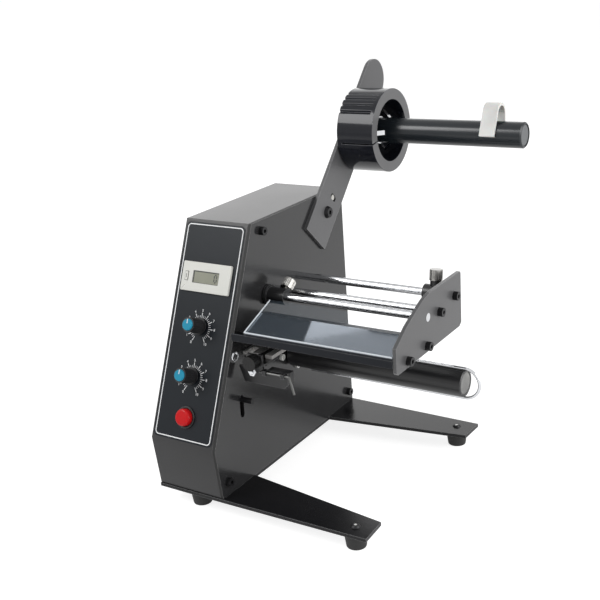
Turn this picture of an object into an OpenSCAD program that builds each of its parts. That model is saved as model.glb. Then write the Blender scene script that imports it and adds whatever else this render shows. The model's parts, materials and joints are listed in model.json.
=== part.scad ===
// Bench-top label dispenser: a motor winds the empty backing paper onto a lower
// roller, and the labels come free at the front edge of the peel plate.
// +X is the way the shafts point, +Y is back, +Z is up. All sizes in millimetres.

/* [Base] */
// Height of the base plate's top face above the floor
base_top = 16.5; // [14:0.5:20]
// Thickness of the base plate
base_t = 3; // [2:0.5:4]
// Depth of the base plate, front to back
base_d = 211; // [200:1:230]
// Reach of the two arms beyond the side plate
arm_reach = 130; // [100:5:150]
// Width of an arm where it leaves the housing
arm_root = 45; // [35:1:55]
// Width of an arm at its tip
arm_tip = 27; // [20:1:32]
// Diameter of a rubber foot at the floor
foot_d = 15.5; // [12:0.5:20]
// Diameter of a foot's top
foot_top_d = 19; // [16:0.5:24]

/* [Housing] */
// Width of the housing, left wall to the side plate's outer face
housing_w = 65; // [60:1:90]
// Thickness of the folded shell
shell_t = 2; // [1.5:0.5:3]
// Thickness of the side plate, the arm and the end plate
plate_t = 3; // [2:0.5:4]
// Height of the chin below the sloping panel
chin_h = 44; // [36:1:50]
// Overhang of the panel's lower edge beyond the chin's foot
chin_out = 4.7; // [2:0.1:8]
// Length of the sloping panel
panel_len = 182; // [175:1:190]
// Lean of the panel from the vertical, in degrees
panel_lean = 24; // [20:0.5:28]
// Depth and height of the sloped corner at the top rear
rear_slope = 9; // [6:0.5:12]

/* [Front panel] */
// Width of the counter's bezel
counter_w = 48; // [44:1:52]
// Height of the counter's bezel
counter_h = 24; // [22:1:28]
// Counter's centre, up the panel from its lower edge
counter_at = 135; // [128:1:145]
// Dial centre of the upper knob, up the panel
length_at = 96; // [90:1:100]
// Dial centre of the lower knob, up the panel
speed_at = 55.5; // [50:0.5:60]
// Power button's centre, up the panel
power_at = 22; // [18:1:26]
// Diameter of a knob's grip
knob_d = 12; // [10:0.5:15]
// Height of a knob with its cap
knob_h = 18.5; // [14:0.5:22]
// Diameter of the power button's cap
power_d = 14; // [12:0.5:16]
// Travel of the power button
power_travel = 2.5; // [1:0.5:4]
// Travel of the counter's reset key
key_travel = 0.8; // [0.5:0.1:1.2]

/* [Unwind arm] */
// Width of the arm
unwind_arm_w = 37; // [32:1:42]
// Length of the arm, from its square end to the centre of its round end
unwind_arm_len = 168; // [160:1:180]
// Lean of the arm from the horizontal, in degrees
unwind_arm_lean = 46; // [42:1:50]
// Diameter of the arm's clamp screw
arm_bolt_d = 6; // [5:1:8]
// Hub's centre along the arm, from its square end
hub_at = 114; // [108:1:120]
// Outer diameter of the hub ring, for wide roll cores
hub_d = 73; // [68:1:76]
// Bore of the hub ring
hub_bore = 54; // [48:1:58]
// Width of the hub ring
hub_w = 35; // [25:1:45]
// Outer diameter of the roll shaft, for narrow roll cores
shaft_d = 21.8; // [20:0.2:25]
// Reach of the roll shaft beyond the side plate
shaft_reach = 162; // [150:1:180]
// Diameter of the fixed axle inside the roll shaft
axle_d = 8; // [6:1:10]

/* [Web path] */
// Diameter of a guide rod
rod_d = 6.5; // [5:0.5:8]
// Outer face of the end plate, from the side plate's outer face
end_at = 145; // [120:1:150]
// Front edge of the peel plate, from the base's front edge
peel_y = 31; // [28:1:36]
// Height of the peel plate's front edge
peel_z = 151; // [146:1:156]
// Slope of the peel plate, in degrees
peel_slope = 20.7; // [16:0.1:24]
// Length of the clear sheet along the slope
sheet_len = 40; // [36:1:42]
// Length of the polished plate along the slope
peel_len = 25; // [20:1:28]
// Height of the peel plate's front lip
lip_h = 8.5; // [6:0.5:10]
// Gap between the side plate and the peel plate's left edge
peel_gap = 14; // [8:1:18]
// Diameter of a guide collar's sleeve
collar_d = 13.5; // [11:0.5:16]
// Diameter of a guide collar's flange
flange_d = 17; // [15:0.5:20]

/* [Rewind] */
// Diameter of the rewind roller
roller_d = 22; // [18:1:24]
// Reach of the rewind roller beyond the side plate
roller_reach = 162; // [155:1:175]
// Roller's centre, from the base's front edge
roller_y = 112; // [108:1:116]
// Height of the roller's centre
roller_z = 102; // [98:1:106]
// Diameter of the clip's wire
wire_d = 2.5; // [2:0.5:3]
// Diameter of the gear motor
motor_d = 37; // [33:1:40]

/* [Label feeler] */
// Height of the feeler carriage's top edge
feeler_z = 121; // [116:1:124]
// Front face of the feeler carriage, from the base's front edge
feeler_y = 34; // [32:1:38]
// Width of the feeler carriage
feeler_w = 46; // [40:1:52]
// Diameter of the adjusting knob
adjust_d = 12; // [10:0.5:14]

/* [Hidden] */
$fn = 48;

// Shared clearances
run = 0.05;        // radial clearance of a shaft that turns or slides
snug = 0.05;       // radial clearance of a fixed screw or pin
clear = 0.3;       // gap between pieces that pass each other
eps = 0.1;         // how far a cut runs past the face it opens

// Screws
screw_d = 4;
screw_head_d = 7;
screw_head_h = 4;
screw_grip = 10;   // length of thread in the piece that the screw holds
socket_d = 3.4;

// Base
base_bottom = base_top - base_t;
foot_y = 13.5;
foot_x = arm_reach - 15.5;
foot_xs = [-housing_w / 2, foot_x];
foot_ys = [foot_y, base_d - foot_y];
foot_bolt_d = 4;
foot_head_d = 7.5;
foot_head_h = 1.6;
foot_recess = 3;

// Housing outline in the Y-Z plane, anticlockwise from the chin's foot
front_y = 1;
rear_y = base_d - 1;
chin_foot = [front_y, base_top];
panel_foot = [front_y - chin_out, base_top + chin_h];
panel_up = [sin(panel_lean), cos(panel_lean)];
panel_head = panel_foot + panel_len * panel_up;
roof_z = panel_head[1];
outline = [
    chin_foot,
    [rear_y, base_top],
    [rear_y, roof_z - rear_slope * 1.3],
    [rear_y - rear_slope, roof_z],
    panel_head,
    panel_foot];
side_in = -plate_t;            // inner face of the side plate
left_in = shell_t - housing_w; // inner face of the left wall
block = 12;                    // size of a corner block
block_spots = [                // screws into the corner blocks, (Y, Z)
    [front_y + 8, base_top + 12.5],
    [rear_y - 8, base_top + 11],
    [panel_head[0] + 12, roof_z - 8.5]];
base_screw_x = foot_xs[0] - foot_top_d / 2 - screw_head_d / 2 - 2;
block_foot = [base_top, base_top, block_spots[2][1] - block / 2];

// Panel
face_mid = -(housing_w + plate_t) / 2;
panel_mid = face_mid + 0.6;
counter_mid = face_mid - 0.6;
overlay_t = 0.3;
overlay_margin = 2.5;
bezel_h = 2.5;
counter_depth = 22;
counter_step = 2;              // bezel beyond the cut-out, all round
window_w = 26;
window_h = 10;
key_w = 2.6;
key_l = 7;
key_x = -19;
bush_d = 7;                    // threaded bush of a potentiometer
bush_h = 5;
pot_d = 16.5;
pot_h = 9;
spindle_d = 4;
knob_skirt = 1.2;
cap_d = 9.6;
cap_h = 1.6;
power_bezel_d = 18;
power_bezel_h = 1.6;
power_barrel_d = 16;
power_barrel_h = 22;
power_stand = 6.5;             // the cap's face above the panel

// Unwind arm
arm_end = [rear_y - 51.5, roof_z - 36.3];  // middle of the arm's square end, (Y, Z)
arm_dir = [cos(unwind_arm_lean), sin(unwind_arm_lean)];
function on_arm(d, s = 0) = arm_end + d * arm_dir + s * [-arm_dir[1], arm_dir[0]];
arm_bolt = on_arm(28.5, -2);
arm_pin_at = on_arm(44, -3);
arm_pin_d = 5;
arm_pin_spread = 16;           // sweep of the pin's slot about the screw, in degrees
hub_c = on_arm(hub_at);
arm_tip_c = on_arm(unwind_arm_len);
hub_x = plate_t + 1;
hub_front = hub_x + hub_w;
web_t = 4;
shaft_wall = 2;
shaft_x = hub_x + 0.2;
cap_plug = 8;
bush_len = 10;
ring_t = 1.2;
clip_x = 127;                  // left edge of the white clip
clip_w = 13;
clip_t = 2.4;
clip_top_r = 7.4;              // inner radius of its round top
clip_leg = 5.5;                // how far its legs reach down past the shaft
spring_x = hub_x + web_t + 17; // left edge of the spring band
spring_w = 13;
spring_h = 7;

// Guide rods, (Y, Z)
rear_rod = [130.5, 166];
middle_rod = [103, 162];
front_rod = [84, 164];
rod_tap = screw_grip + 2;
end_in = end_at - plate_t;
end_bottom = peel_z - 13.7;
end_top = peel_z + 31.5;
end_front = peel_y + 0.5;
end_rear = 143.3;
lower_screws = [[49, peel_z - 8.5], [80.5, peel_z - 8.5]];

// Peel plate
slope_dir = [cos(peel_slope), sin(peel_slope)];
slope_out = [-slope_dir[1], slope_dir[0]];
peel_t = 1.5;
sheet_t = 1;
support_t = 8;
support_y0 = peel_y + 10;
support_y1 = 89;
support_z0 = peel_z - 8.5 - support_t / 2;
support_z1 = support_z0 + support_t;

// Guide collars
collar_len = 18.5;
collar_flange_t = 2.5;
left_collar_x = 1;
right_collar_x = end_in - 22;
thumb_d = 4;
thumb_head_d = 10.5;
thumb_head_h = 8.5;

// Rewind
roller_x = 3.2;
roller_wall = 2;
drive_len = 15;
motor_shaft_d = 6;
gearbox_len = 24;
can_len = 30;
boss_d = 12;
boss_h = 3;
motor_bolt_r = 15.5;
motor_bolt_d = 3;
motor_head_d = 5.5;
motor_head_h = 2.2;
wire_gap = 0.15;
clip_leg_r = roller_d / 2 + wire_gap + wire_d / 2;
clip_leg_x = 20;
clip_bend_x = roller_reach - 1;

// Label feeler
rail_z = feeler_z + 5;
rail_t = 3;
rail_x0 = 9;
rail_prong = 6.5;
rail_slot = 6;
rail_y0 = feeler_y + 10;
rail_y1 = 67;
rail_x1 = rail_x0 + 2 * rail_prong + rail_slot;
rail_mid = (rail_x0 + rail_x1) / 2;
carriage_t = 2;
carriage_h = 13;
stud_z = rail_z + rail_t / 2;
stud_d = 4;
stud_len = 31.5;
lug = 3;
adjust_h = 8;
feeler_wire = 2;
feeler_axis = [feeler_y - 1.6, feeler_z - 1.6];
feeler_drop = 14;
switch_size = [20, 6.4, 10];

// Tension peg
slot_y = 36.4;
slot_z0 = 73.5;
slot_z1 = 93;
slot_w = 5.5;
peg_d = 4.6;
peg_out = 11;

// The part's own frame: origin under the middle of the whole machine, on the floor
y_low = min(0, panel_foot[0]);
y_high = arm_tip_c[0] + unwind_arm_w / 2;
x_low = -housing_w;
x_high = clip_bend_x + clip_leg_r + wire_d / 2;
origin = [(x_low + x_high) / 2, (y_low + y_high) / 2, 0];

module at_frame() {
    translate(-origin) children();
}

// A flat outline in the Y-Z plane, from x0 to x1
module slab(x0, x1) {
    translate([x0, 0, 0]) rotate([90, 0, 90]) linear_extrude(x1 - x0) children();
}

// A round bar along X, from x0 to x1, centred on p = (Y, Z)
module bar_x(x0, x1, p, d) {
    translate([x0, p[0], p[1]]) rotate([0, 90, 0]) cylinder(h = x1 - x0, d = d);
}

// The panel's own frame: x across, y up the slope, z out of the face
module on_panel(x, t) {
    translate([x, panel_foot[0], panel_foot[1]])
        rotate([90 - panel_lean, 0, 0])
            translate([0, t, 0])
                children();
}

// A rectangle with round corners, centred
module round_rect(w, h, r) {
    square([w - 2 * r, h], center = true);
    square([w, h - 2 * r], center = true);
    for (sx = [-1, 1], sy = [-1, 1])
        translate([sx * (w / 2 - r), sy * (h / 2 - r)]) circle(r = r);
}

// Each edge of a convex anticlockwise outline moved inwards by d
function unit(v) = v / norm(v);
function left_of(v) = [-v[1], v[0]];
function inset(p, d) = [
    for (i = [0:len(p) - 1])
        let (a = p[(i + len(p) - 1) % len(p)])
        let (b = p[i])
        let (c = p[(i + 1) % len(p)])
        let (nu = left_of(unit(b - a)))
        let (nv = left_of(unit(c - b)))
        b + d * (nu + nv) / (1 + nu * nv)];

// A socket-head screw along X: the head's inner face at x, pointing back to -X
module cap_screw(x, p, grip) {
    difference() {
        union() {
            bar_x(x, x + screw_head_h, p, screw_head_d);
            bar_x(x - grip, x + eps, p, screw_d);
        }
        translate([x + screw_head_h - 2, p[0], p[1]])
            rotate([0, 90, 0]) cylinder(h = 2 + eps, d = socket_d, $fn = 6);
    }
}

// ---- Base ----

module base_outline() {
    difference() {
        polygon([
            [-housing_w, 0], [0, 0], [arm_reach, 1.5], [arm_reach - 1, arm_tip],
            [0, arm_root], [0, base_d - arm_root], [arm_reach - 1, base_d - arm_tip],
            [arm_reach, base_d - 1.5], [0, base_d], [-housing_w, base_d]]);
        for (x = foot_xs, y = foot_ys)
            translate([x, y]) circle(d = foot_bolt_d + 2 * snug);
        for (i = [0, 1])
            translate([base_screw_x, block_spots[i][0]]) circle(d = screw_d + 2 * snug);
    }
}

module base_plate() {
    at_frame() color([0.16, 0.16, 0.17])
        translate([0, 0, base_bottom]) linear_extrude(base_t) base_outline();
}

module rubber_feet() {
    at_frame() color([0.06, 0.06, 0.06])
        for (x = foot_xs, y = foot_ys)
            translate([x, y, 0])
                difference() {
                    cylinder(h = base_bottom, d1 = foot_d, d2 = foot_top_d);
                    translate([0, 0, -eps]) cylinder(h = foot_recess + eps, d = 9);
                    cylinder(h = base_top, d = foot_bolt_d + 2 * snug);
                }
}

module foot_screws() {
    at_frame() color([0.09, 0.09, 0.1])
        for (x = foot_xs, y = foot_ys)
            translate([x, y, 0])
                difference() {
                    union() {
                        translate([0, 0, foot_recess]) cylinder(h = base_top - foot_recess + eps, d = foot_bolt_d);
                        translate([0, 0, base_top]) cylinder(h = foot_head_h, d1 = foot_head_d, d2 = 5);
                    }
                    translate([0, 0, base_top + foot_head_h - 1]) cylinder(h = 1 + eps, d = 2.6, $fn = 6);
                }
}

// ---- Housing ----

module wall_cuts() {
    // counter, knob bushes and power switch through the sloping panel
    on_panel(counter_mid, counter_at)
        cube([counter_w - 2 * counter_step + 0.4, counter_h - 2 * counter_step + 0.4, 20], center = true);
    for (t = [length_at, speed_at])
        on_panel(panel_mid, t) cylinder(h = 20, d = bush_d + 2 * snug, center = true);
    on_panel(panel_mid, power_at) cylinder(h = 20, d = power_barrel_d + 2 * snug, center = true);
}

inlet_x = 22 - housing_w;
inlet_z = base_top + 34;
inlet_w = 27.4;
inlet_h = 20;
fuse_z = inlet_z + 24;
fuse_d = 12.4;

module rear_cuts() {
    translate([inlet_x, rear_y, inlet_z]) cube([inlet_w + 0.4, 10, inlet_h + 0.4], center = true);
    translate([inlet_x, rear_y, fuse_z]) rotate([90, 0, 0]) cylinder(h = 10, d = fuse_d + 0.2, center = true);
}

inner = inset(outline, shell_t);
hollow = [
    [inner[0][0], base_top - eps], [inner[1][0], base_top - eps],
    inner[2], inner[3], inner[4], inner[5]];

module housing_shell() {
    at_frame() color([0.15, 0.15, 0.16])
        difference() {
            slab(-housing_w, side_in) polygon(outline);
            slab(left_in, side_in + eps) polygon(hollow);
            wall_cuts();
            rear_cuts();
        }
}

module corner_blocks() {
    // threaded blocks on the left wall that the side plate and the base screw into
    at_frame() color([0.55, 0.56, 0.58])
        for (i = [0:2])
            difference() {
                translate([left_in, block_spots[i][0] - block / 2, block_foot[i]])
                    cube([side_in - left_in, block, block_spots[i][1] + block / 2 - block_foot[i]]);
                bar_x(side_in - rod_tap, side_in + eps, block_spots[i], screw_d + 2 * snug);
                if (i < 2) {
                    translate([base_screw_x, block_spots[i][0], base_top - eps])
                        cylinder(h = rod_tap, d = screw_d + 2 * snug);
                    // room for the foot screw's head
                    translate([foot_xs[0], foot_ys[i], base_top - eps])
                        cylinder(h = foot_head_h + clear + eps, d = foot_head_d + 2 * clear);
                }
            }
}

module side_plate() {
    at_frame() color([0.17, 0.17, 0.18])
        difference() {
            slab(side_in, 0) polygon(outline);
            for (p = concat(block_spots, [rear_rod, middle_rod, front_rod], lower_screws))
                bar_x(side_in - 1, 1, p, screw_d + 2 * snug);
            bar_x(side_in - 1, 1, arm_bolt, arm_bolt_d + 2 * snug);
            bar_x(side_in - 1, 1, arm_pin_at, arm_pin_d + 2 * snug);
            bar_x(side_in - 1, 1, [roller_y, roller_z], boss_d + 2 * snug);
            for (a = motor_angles)
                bar_x(side_in - 1, 1, motor_spot(a), motor_bolt_d + 2 * snug);
            slab(side_in - 1, 1)
                translate([slot_y, 0])
                    union() {
                        translate([-slot_w / 2, slot_z0 + slot_w / 2]) square([slot_w, slot_z1 - slot_z0 - slot_w]);
                        translate([0, slot_z0 + slot_w / 2]) circle(d = slot_w);
                        translate([0, slot_z1 - slot_w / 2]) circle(d = slot_w);
                    }
            for (p = rail_screws)
                bar_x(side_in - 1, 1, p, motor_bolt_d + 2 * snug);
        }
}

module housing_screws() {
    // three through the side plate, two up through the base
    at_frame() color([0.07, 0.07, 0.08]) {
        for (p = block_spots)
            cap_screw(0, p, plate_t + screw_grip);
        for (i = [0, 1])
            translate([base_screw_x, block_spots[i][0], base_bottom])
                rotate([0, 90, 0]) cap_screw(0, [0, 0], base_t + screw_grip);
    }
}

// ---- Front panel ----

module panel_overlay() {
    at_frame() color([0.09, 0.1, 0.13])
        on_panel(face_mid, panel_len / 2)
            difference() {
                linear_extrude(overlay_t)
                    round_rect(housing_w - plate_t - 3, panel_len - 2 * overlay_margin, 4);
                translate([counter_mid - face_mid, counter_at - panel_len / 2, 0])
                    cube([counter_w + 0.4, counter_h + 0.4, 4], center = true);
                for (t = [length_at, speed_at])
                    translate([panel_mid - face_mid, t - panel_len / 2, -1]) cylinder(h = 4, d = 11);
                translate([panel_mid - face_mid, power_at - panel_len / 2, -1])
                    cylinder(h = 4, d = power_bezel_d + 0.4);
            }
}

module counter_case() {
    at_frame() color([0.88, 0.88, 0.84])
        on_panel(counter_mid, counter_at)
            difference() {
                union() {
                    linear_extrude(bezel_h) round_rect(counter_w, counter_h, 1);
                    translate([0, 0, -counter_depth / 2])
                        cube([counter_w - 2 * counter_step, counter_h - 2 * counter_step, counter_depth + eps], center = true);
                }
                translate([0, 0, bezel_h]) cube([window_w, window_h, 3], center = true);
                translate([key_x, 0, bezel_h]) cube([key_w + 0.3, key_l + 0.3, 2 * (key_travel + 1.4)], center = true);
            }
}

module counter_window() {
    at_frame() color([0.55, 0.58, 0.5])
        on_panel(counter_mid, counter_at)
            translate([0, 0, bezel_h - 1.5]) linear_extrude(1) square([window_w, window_h], center = true);
}

module counter_reset_key() {
    at_frame() color([0.78, 0.78, 0.75])
        on_panel(counter_mid + key_x, counter_at)
            translate([0, 0, bezel_h - 1])
                linear_extrude(1.6) round_rect(key_w, key_l, 0.6);
}

module knob(t) {
    flutes = 20;
    on_panel(panel_mid, t)
        difference() {
            union() {
                translate([0, 0, -pot_h + 1]) cylinder(h = knob_h - cap_h - 2 + pot_h, d = spindle_d);
                translate([0, 0, clear + 2]) cylinder(h = knob_skirt, d = knob_d + 2);
                translate([0, 0, clear + 2]) cylinder(h = knob_h - cap_h - clear - 2, d = knob_d);
            }
            for (i = [0:flutes - 1])
                rotate([0, 0, i * 360 / flutes])
                    translate([knob_d / 2 + 0.2, 0, 4.5]) cylinder(h = knob_h, d = 0.9, $fn = 16);
            // room for the bush and its nut round the spindle
            difference() {
                cylinder(h = 5.6, d = 9.4);
                cylinder(h = 5.6, d = spindle_d);
            }
            translate([0, 0, knob_h - cap_h - 0.8]) cylinder(h = 2, d = cap_d - 1.6 + 2 * snug);
        }
}

module knob_cap(t) {
    on_panel(panel_mid, t) {
        difference() {
            union() {
                translate([0, 0, knob_h - cap_h - 0.8]) cylinder(h = 1, d = cap_d - 1.6);
                translate([0, 0, knob_h - cap_h]) cylinder(h = cap_h, d1 = cap_d, d2 = cap_d - 1);
            }
            translate([-0.4, 1, knob_h - 0.4]) cube([0.8, 4, 1]);
        }
    }
}

module pot(t) {
    // body behind the panel, threaded bush through it with its nut in front
    on_panel(panel_mid, t)
        difference() {
            union() {
                translate([0, 0, -shell_t - pot_h]) cylinder(h = pot_h, d = pot_d);
                translate([0, 0, -shell_t - eps]) cylinder(h = shell_t + bush_h, d = bush_d);
                translate([0, 0, 0]) cylinder(h = 1.6, d = 8.6, $fn = 6);
                translate([-4, -pot_d / 2 - 4, -shell_t - 3]) cube([8, 6, 1.2]);
            }
            translate([0, 0, -shell_t - pot_h + 1.5]) cylinder(h = 30, d = spindle_d + 2 * run);
        }
}

module length_knob() {
    at_frame() color([0.06, 0.06, 0.07]) knob(length_at);
}

module length_knob_cap() {
    at_frame() color([0.16, 0.6, 0.8]) knob_cap(length_at);
}

module length_pot() {
    at_frame() color([0.55, 0.56, 0.58]) pot(length_at);
}

module speed_knob() {
    at_frame() color([0.06, 0.06, 0.07]) knob(speed_at);
}

module speed_knob_cap() {
    at_frame() color([0.16, 0.6, 0.8]) knob_cap(speed_at);
}

module speed_pot() {
    at_frame() color([0.55, 0.56, 0.58]) pot(speed_at);
}

module power_button_cap() {
    at_frame() color([0.8, 0.08, 0.1])
        on_panel(panel_mid, power_at)
            rotate_extrude()
                polygon([
                    [0, -3], [power_d / 2 - 1.5, -3], [power_d / 2 - 1.5, 0],
                    [power_d / 2, 0], [power_d / 2, power_stand - 2.2],
                    for (a = [15:15:90])
                        [power_d / 2 - 2.2 + 2.2 * cos(a), power_stand - 2.2 + 2.2 * sin(a)],
                    [0, power_stand]]);
}

module power_switch_body() {
    at_frame() color([0.08, 0.08, 0.08])
        on_panel(panel_mid, power_at)
            difference() {
                union() {
                    cylinder(h = power_bezel_h, d = power_bezel_d);
                    translate([0, 0, -power_barrel_h]) cylinder(h = power_barrel_h + eps, d = power_barrel_d);
                }
                // the cap's well, deep enough for its travel
                translate([0, 0, -power_travel - clear]) cylinder(h = 10, d = power_d + 2 * clear);
                translate([0, 0, -3 - power_travel - clear]) cylinder(h = 10, d = power_d - 3 + 2 * clear);
            }
}

// ---- Inside the housing ----

board = [1.6, 96, 62];
board_y = 88;
board_z = base_top + 140;
core = [40, 34, 40];           // the transformer's core
core_y = rear_y - 70;
coil_out = 4;                  // how far its coil stands out at each side

module control_board() {
    // circuit board on four posts from the left wall, with its larger parts
    at_frame() color([0.1, 0.35, 0.18])
        translate([left_in, board_y, board_z - board[2] / 2]) {
            translate([6, 0, 0]) cube(board);
            for (y = [6, board[1] - 6], z = [6, board[2] - 6])
                translate([0, y, z]) rotate([0, 90, 0]) cylinder(h = 6 + eps, d = 6);
            translate([7.5, 14, 14]) cube([12, 16, 20]);
            translate([7.5, 44, 36]) rotate([0, 90, 0]) cylinder(h = 18, d = 13);
            translate([7.5, 66, 12]) cube([10, 22, 10]);
        }
}

module transformer() {
    // foot, laminated core and coil
    at_frame() color([0.3, 0.3, 0.32])
        translate([left_in + 8, core_y, base_top]) {
            cube([core[0], core[1] + 12, 3]);
            translate([0, 6, 2]) cube(core);
            translate([-coil_out, 13, 12]) cube([core[0] + 2 * coil_out, core[1] - 14, core[2] - 16]);
        }
}

module power_inlet() {
    at_frame() color([0.05, 0.05, 0.05])
        translate([inlet_x, rear_y, inlet_z])
            difference() {
                union() {
                    translate([0, 1, 0]) cube([inlet_w + 12, 2, inlet_h + 3], center = true);
                    translate([0, -10, 0]) cube([inlet_w, 20 + eps, inlet_h], center = true);
                }
                translate([0, -6, 0]) cube([inlet_w - 4, 18, inlet_h - 4], center = true);
            }
    at_frame() color([0.7, 0.7, 0.68])
        for (dx = [-7, 0, 7])
            translate([inlet_x + dx - 1, rear_y - 15, inlet_z - 2 + (dx == 0 ? 2 : -1)]) cube([2, 12, 4]);
}

module fuse_holder() {
    at_frame() color([0.05, 0.05, 0.05])
        translate([inlet_x, rear_y, fuse_z])
            rotate([-90, 0, 0]) {
                translate([0, 0, -24]) cylinder(h = 24 + eps, d = fuse_d);
                cylinder(h = 2, d = 16);
                difference() {
                    translate([0, 0, 2 - eps]) cylinder(h = 5, d = 12);
                    translate([-5, -0.6, 6]) cube([10, 1.2, 3]);
                }
            }
}

// ---- Unwind arm and roll shaft ----

module unwind_arm() {
    at_frame() color([0.17, 0.17, 0.18])
        difference() {
            slab(0, plate_t)
                translate(arm_end) rotate(unwind_arm_lean) {
                    translate([0, -unwind_arm_w / 2]) square([unwind_arm_len, unwind_arm_w]);
                    translate([unwind_arm_len, 0]) circle(d = unwind_arm_w);
                }
            bar_x(-1, plate_t + 1, arm_bolt, arm_bolt_d + 2 * snug);
            bar_x(-1, plate_t + 1, hub_c, axle_d + 2 * snug);
            // the pin's slot is an arc about the clamp screw
            for (a = [-1, 1])
                bar_x(-1, plate_t + 1, pin_spot(a * arm_pin_spread / 2), arm_pin_d + 2 * snug);
            slab(-1, plate_t + 1)
                translate(arm_bolt) rotate(pin_angle)
                    arc_band(norm(arm_pin_at - arm_bolt), arm_pin_d + 2 * snug, arm_pin_spread);
        }
}

pin_angle = atan2(arm_pin_at[1] - arm_bolt[1], arm_pin_at[0] - arm_bolt[0]);
function pin_spot(a) = arm_bolt + norm(arm_pin_at - arm_bolt) * [cos(pin_angle + a), sin(pin_angle + a)];

// A curved band of mean radius r and width w that sweeps an angle, centred on +X
module arc_band(r, w, sweep) {
    intersection() {
        difference() {
            circle(r = r + w / 2);
            circle(r = r - w / 2);
        }
        polygon([
            [0, 0], 2 * r * [cos(sweep / 2), -sin(sweep / 2)],
            2 * r * [cos(sweep / 2), sin(sweep / 2)]]);
    }
}

module arm_screw() {
    at_frame() color([0.08, 0.08, 0.09])
        difference() {
            union() {
                bar_x(-plate_t - 6, plate_t + eps, arm_bolt, arm_bolt_d);
                translate([plate_t, arm_bolt[0], arm_bolt[1]])
                    rotate([0, 90, 0]) cylinder(h = 3, d1 = 11, d2 = 8.5);
                translate([-plate_t - 5, arm_bolt[0], arm_bolt[1]])
                    rotate([0, 90, 0]) cylinder(h = 5, d = 10.5, $fn = 6);
            }
            translate([plate_t + 1.4, arm_bolt[0], arm_bolt[1]])
                rotate([0, 90, 0]) cylinder(h = 3, d = 4, $fn = 6);
        }
}

module arm_pin() {
    at_frame() color([0.8, 0.8, 0.78])
        union() {
            bar_x(-plate_t - 3, plate_t - 0.6, arm_pin_at, arm_pin_d);
            bar_x(-plate_t - 3, -plate_t, arm_pin_at, 8);
        }
}

module unwind_axle() {
    // fixed axle: shoulder against the arm, thread behind it
    at_frame() color([0.75, 0.76, 0.78])
        union() {
            bar_x(-7, shaft_reach - cap_plug - 2, hub_c, axle_d);
            bar_x(plate_t, plate_t + 0.7, hub_c, 14);
        }
}

module axle_nut() {
    at_frame() color([0.7, 0.71, 0.73])
        difference() {
            translate([-5.5, hub_c[0], hub_c[1]]) rotate([0, 90, 0]) cylinder(h = 5.5, d = 15, $fn = 6);
            bar_x(-6, 1, hub_c, axle_d + 2 * snug);
        }
}

module axle_ring() {
    // keeps the roll shaft on its axle
    x = shaft_reach - cap_plug - 4 + clear;
    at_frame() color([0.6, 0.61, 0.63])
        difference() {
            bar_x(x, x + ring_t, hub_c, axle_d + 5);
            bar_x(x - 1, x + ring_t + 1, hub_c, axle_d + 2 * snug);
        }
}

module hub_ring() {
    // split ring with a back web; its steps and slit let it grip a wide core
    at_frame() color([0.07, 0.07, 0.08])
        difference() {
            bar_x(hub_x, hub_front, hub_c, hub_d);
            bar_x(hub_x + web_t, hub_front + 1, hub_c, hub_bore);
            bar_x(hub_x - 1, hub_x + web_t + 1, hub_c, shaft_d + 2 * snug);
            for (a = [112:11:145])
                translate([hub_x - 1, hub_c[0], hub_c[1]])
                    rotate([a, 0, 0]) translate([0, hub_d / 2 - 1.6, 0])
                        rotate([-35, 0, 0]) cube([hub_w - 3, 5, 5]);
            translate([hub_x + web_t, hub_c[0], hub_c[1]])
                rotate([190, 0, 0]) translate([0, hub_bore / 2 - 1, -0.5]) cube([hub_w, 12, 1]);
        }
}

module hub_springs() {
    // bright band on the shaft with four V-shaped leaves bent out along it
    r0 = shaft_d / 2 + snug;
    at_frame() color([0.85, 0.86, 0.88])
        translate([spring_x, hub_c[0], hub_c[1]]) {
            difference() {
                bar_x(0, 2.5, [0, 0], 2 * r0 + 2);
                bar_x(-1, 4, [0, 0], 2 * r0);
            }
            for (a = [0:90:270])
                rotate([a, 0, 0]) translate([0, 0, -2]) linear_extrude(4)
                    polygon([
                        [0.3, r0 + 0.5], [spring_w / 2, r0 + spring_h], [spring_w, r0 + 0.5],
                        [spring_w - 1.6, r0 + 0.5], [spring_w / 2, r0 + spring_h - 1.9], [1.9, r0 + 0.5]]);
        }
}

module roll_shaft() {
    at_frame() color([0.2, 0.22, 0.26])
        translate([0, hub_c[0], hub_c[1]]) rotate([0, 90, 0])
            rotate_extrude()
                polygon([
                    [shaft_d / 2 - shaft_wall, shaft_x], [shaft_d / 2, shaft_x],
                    [shaft_d / 2, shaft_reach - 1], [shaft_d / 2 - 1, shaft_reach],
                    [shaft_d / 2 - shaft_wall, shaft_reach]]);
}

module shaft_bushes() {
    at_frame() color([0.85, 0.84, 0.78])
        for (x = [shaft_x, shaft_reach - cap_plug - 4 - bush_len])
            difference() {
                bar_x(x, x + bush_len, hub_c, shaft_d - 2 * shaft_wall - 2 * snug);
                bar_x(x - 1, x + bush_len + 1, hub_c, axle_d + 2 * run);
            }
}

module shaft_cap() {
    at_frame() color([0.25, 0.27, 0.31])
        bar_x(shaft_reach - cap_plug + 1, shaft_reach - 0.4, hub_c, shaft_d - 2 * shaft_wall - 2 * snug);
}

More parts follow.
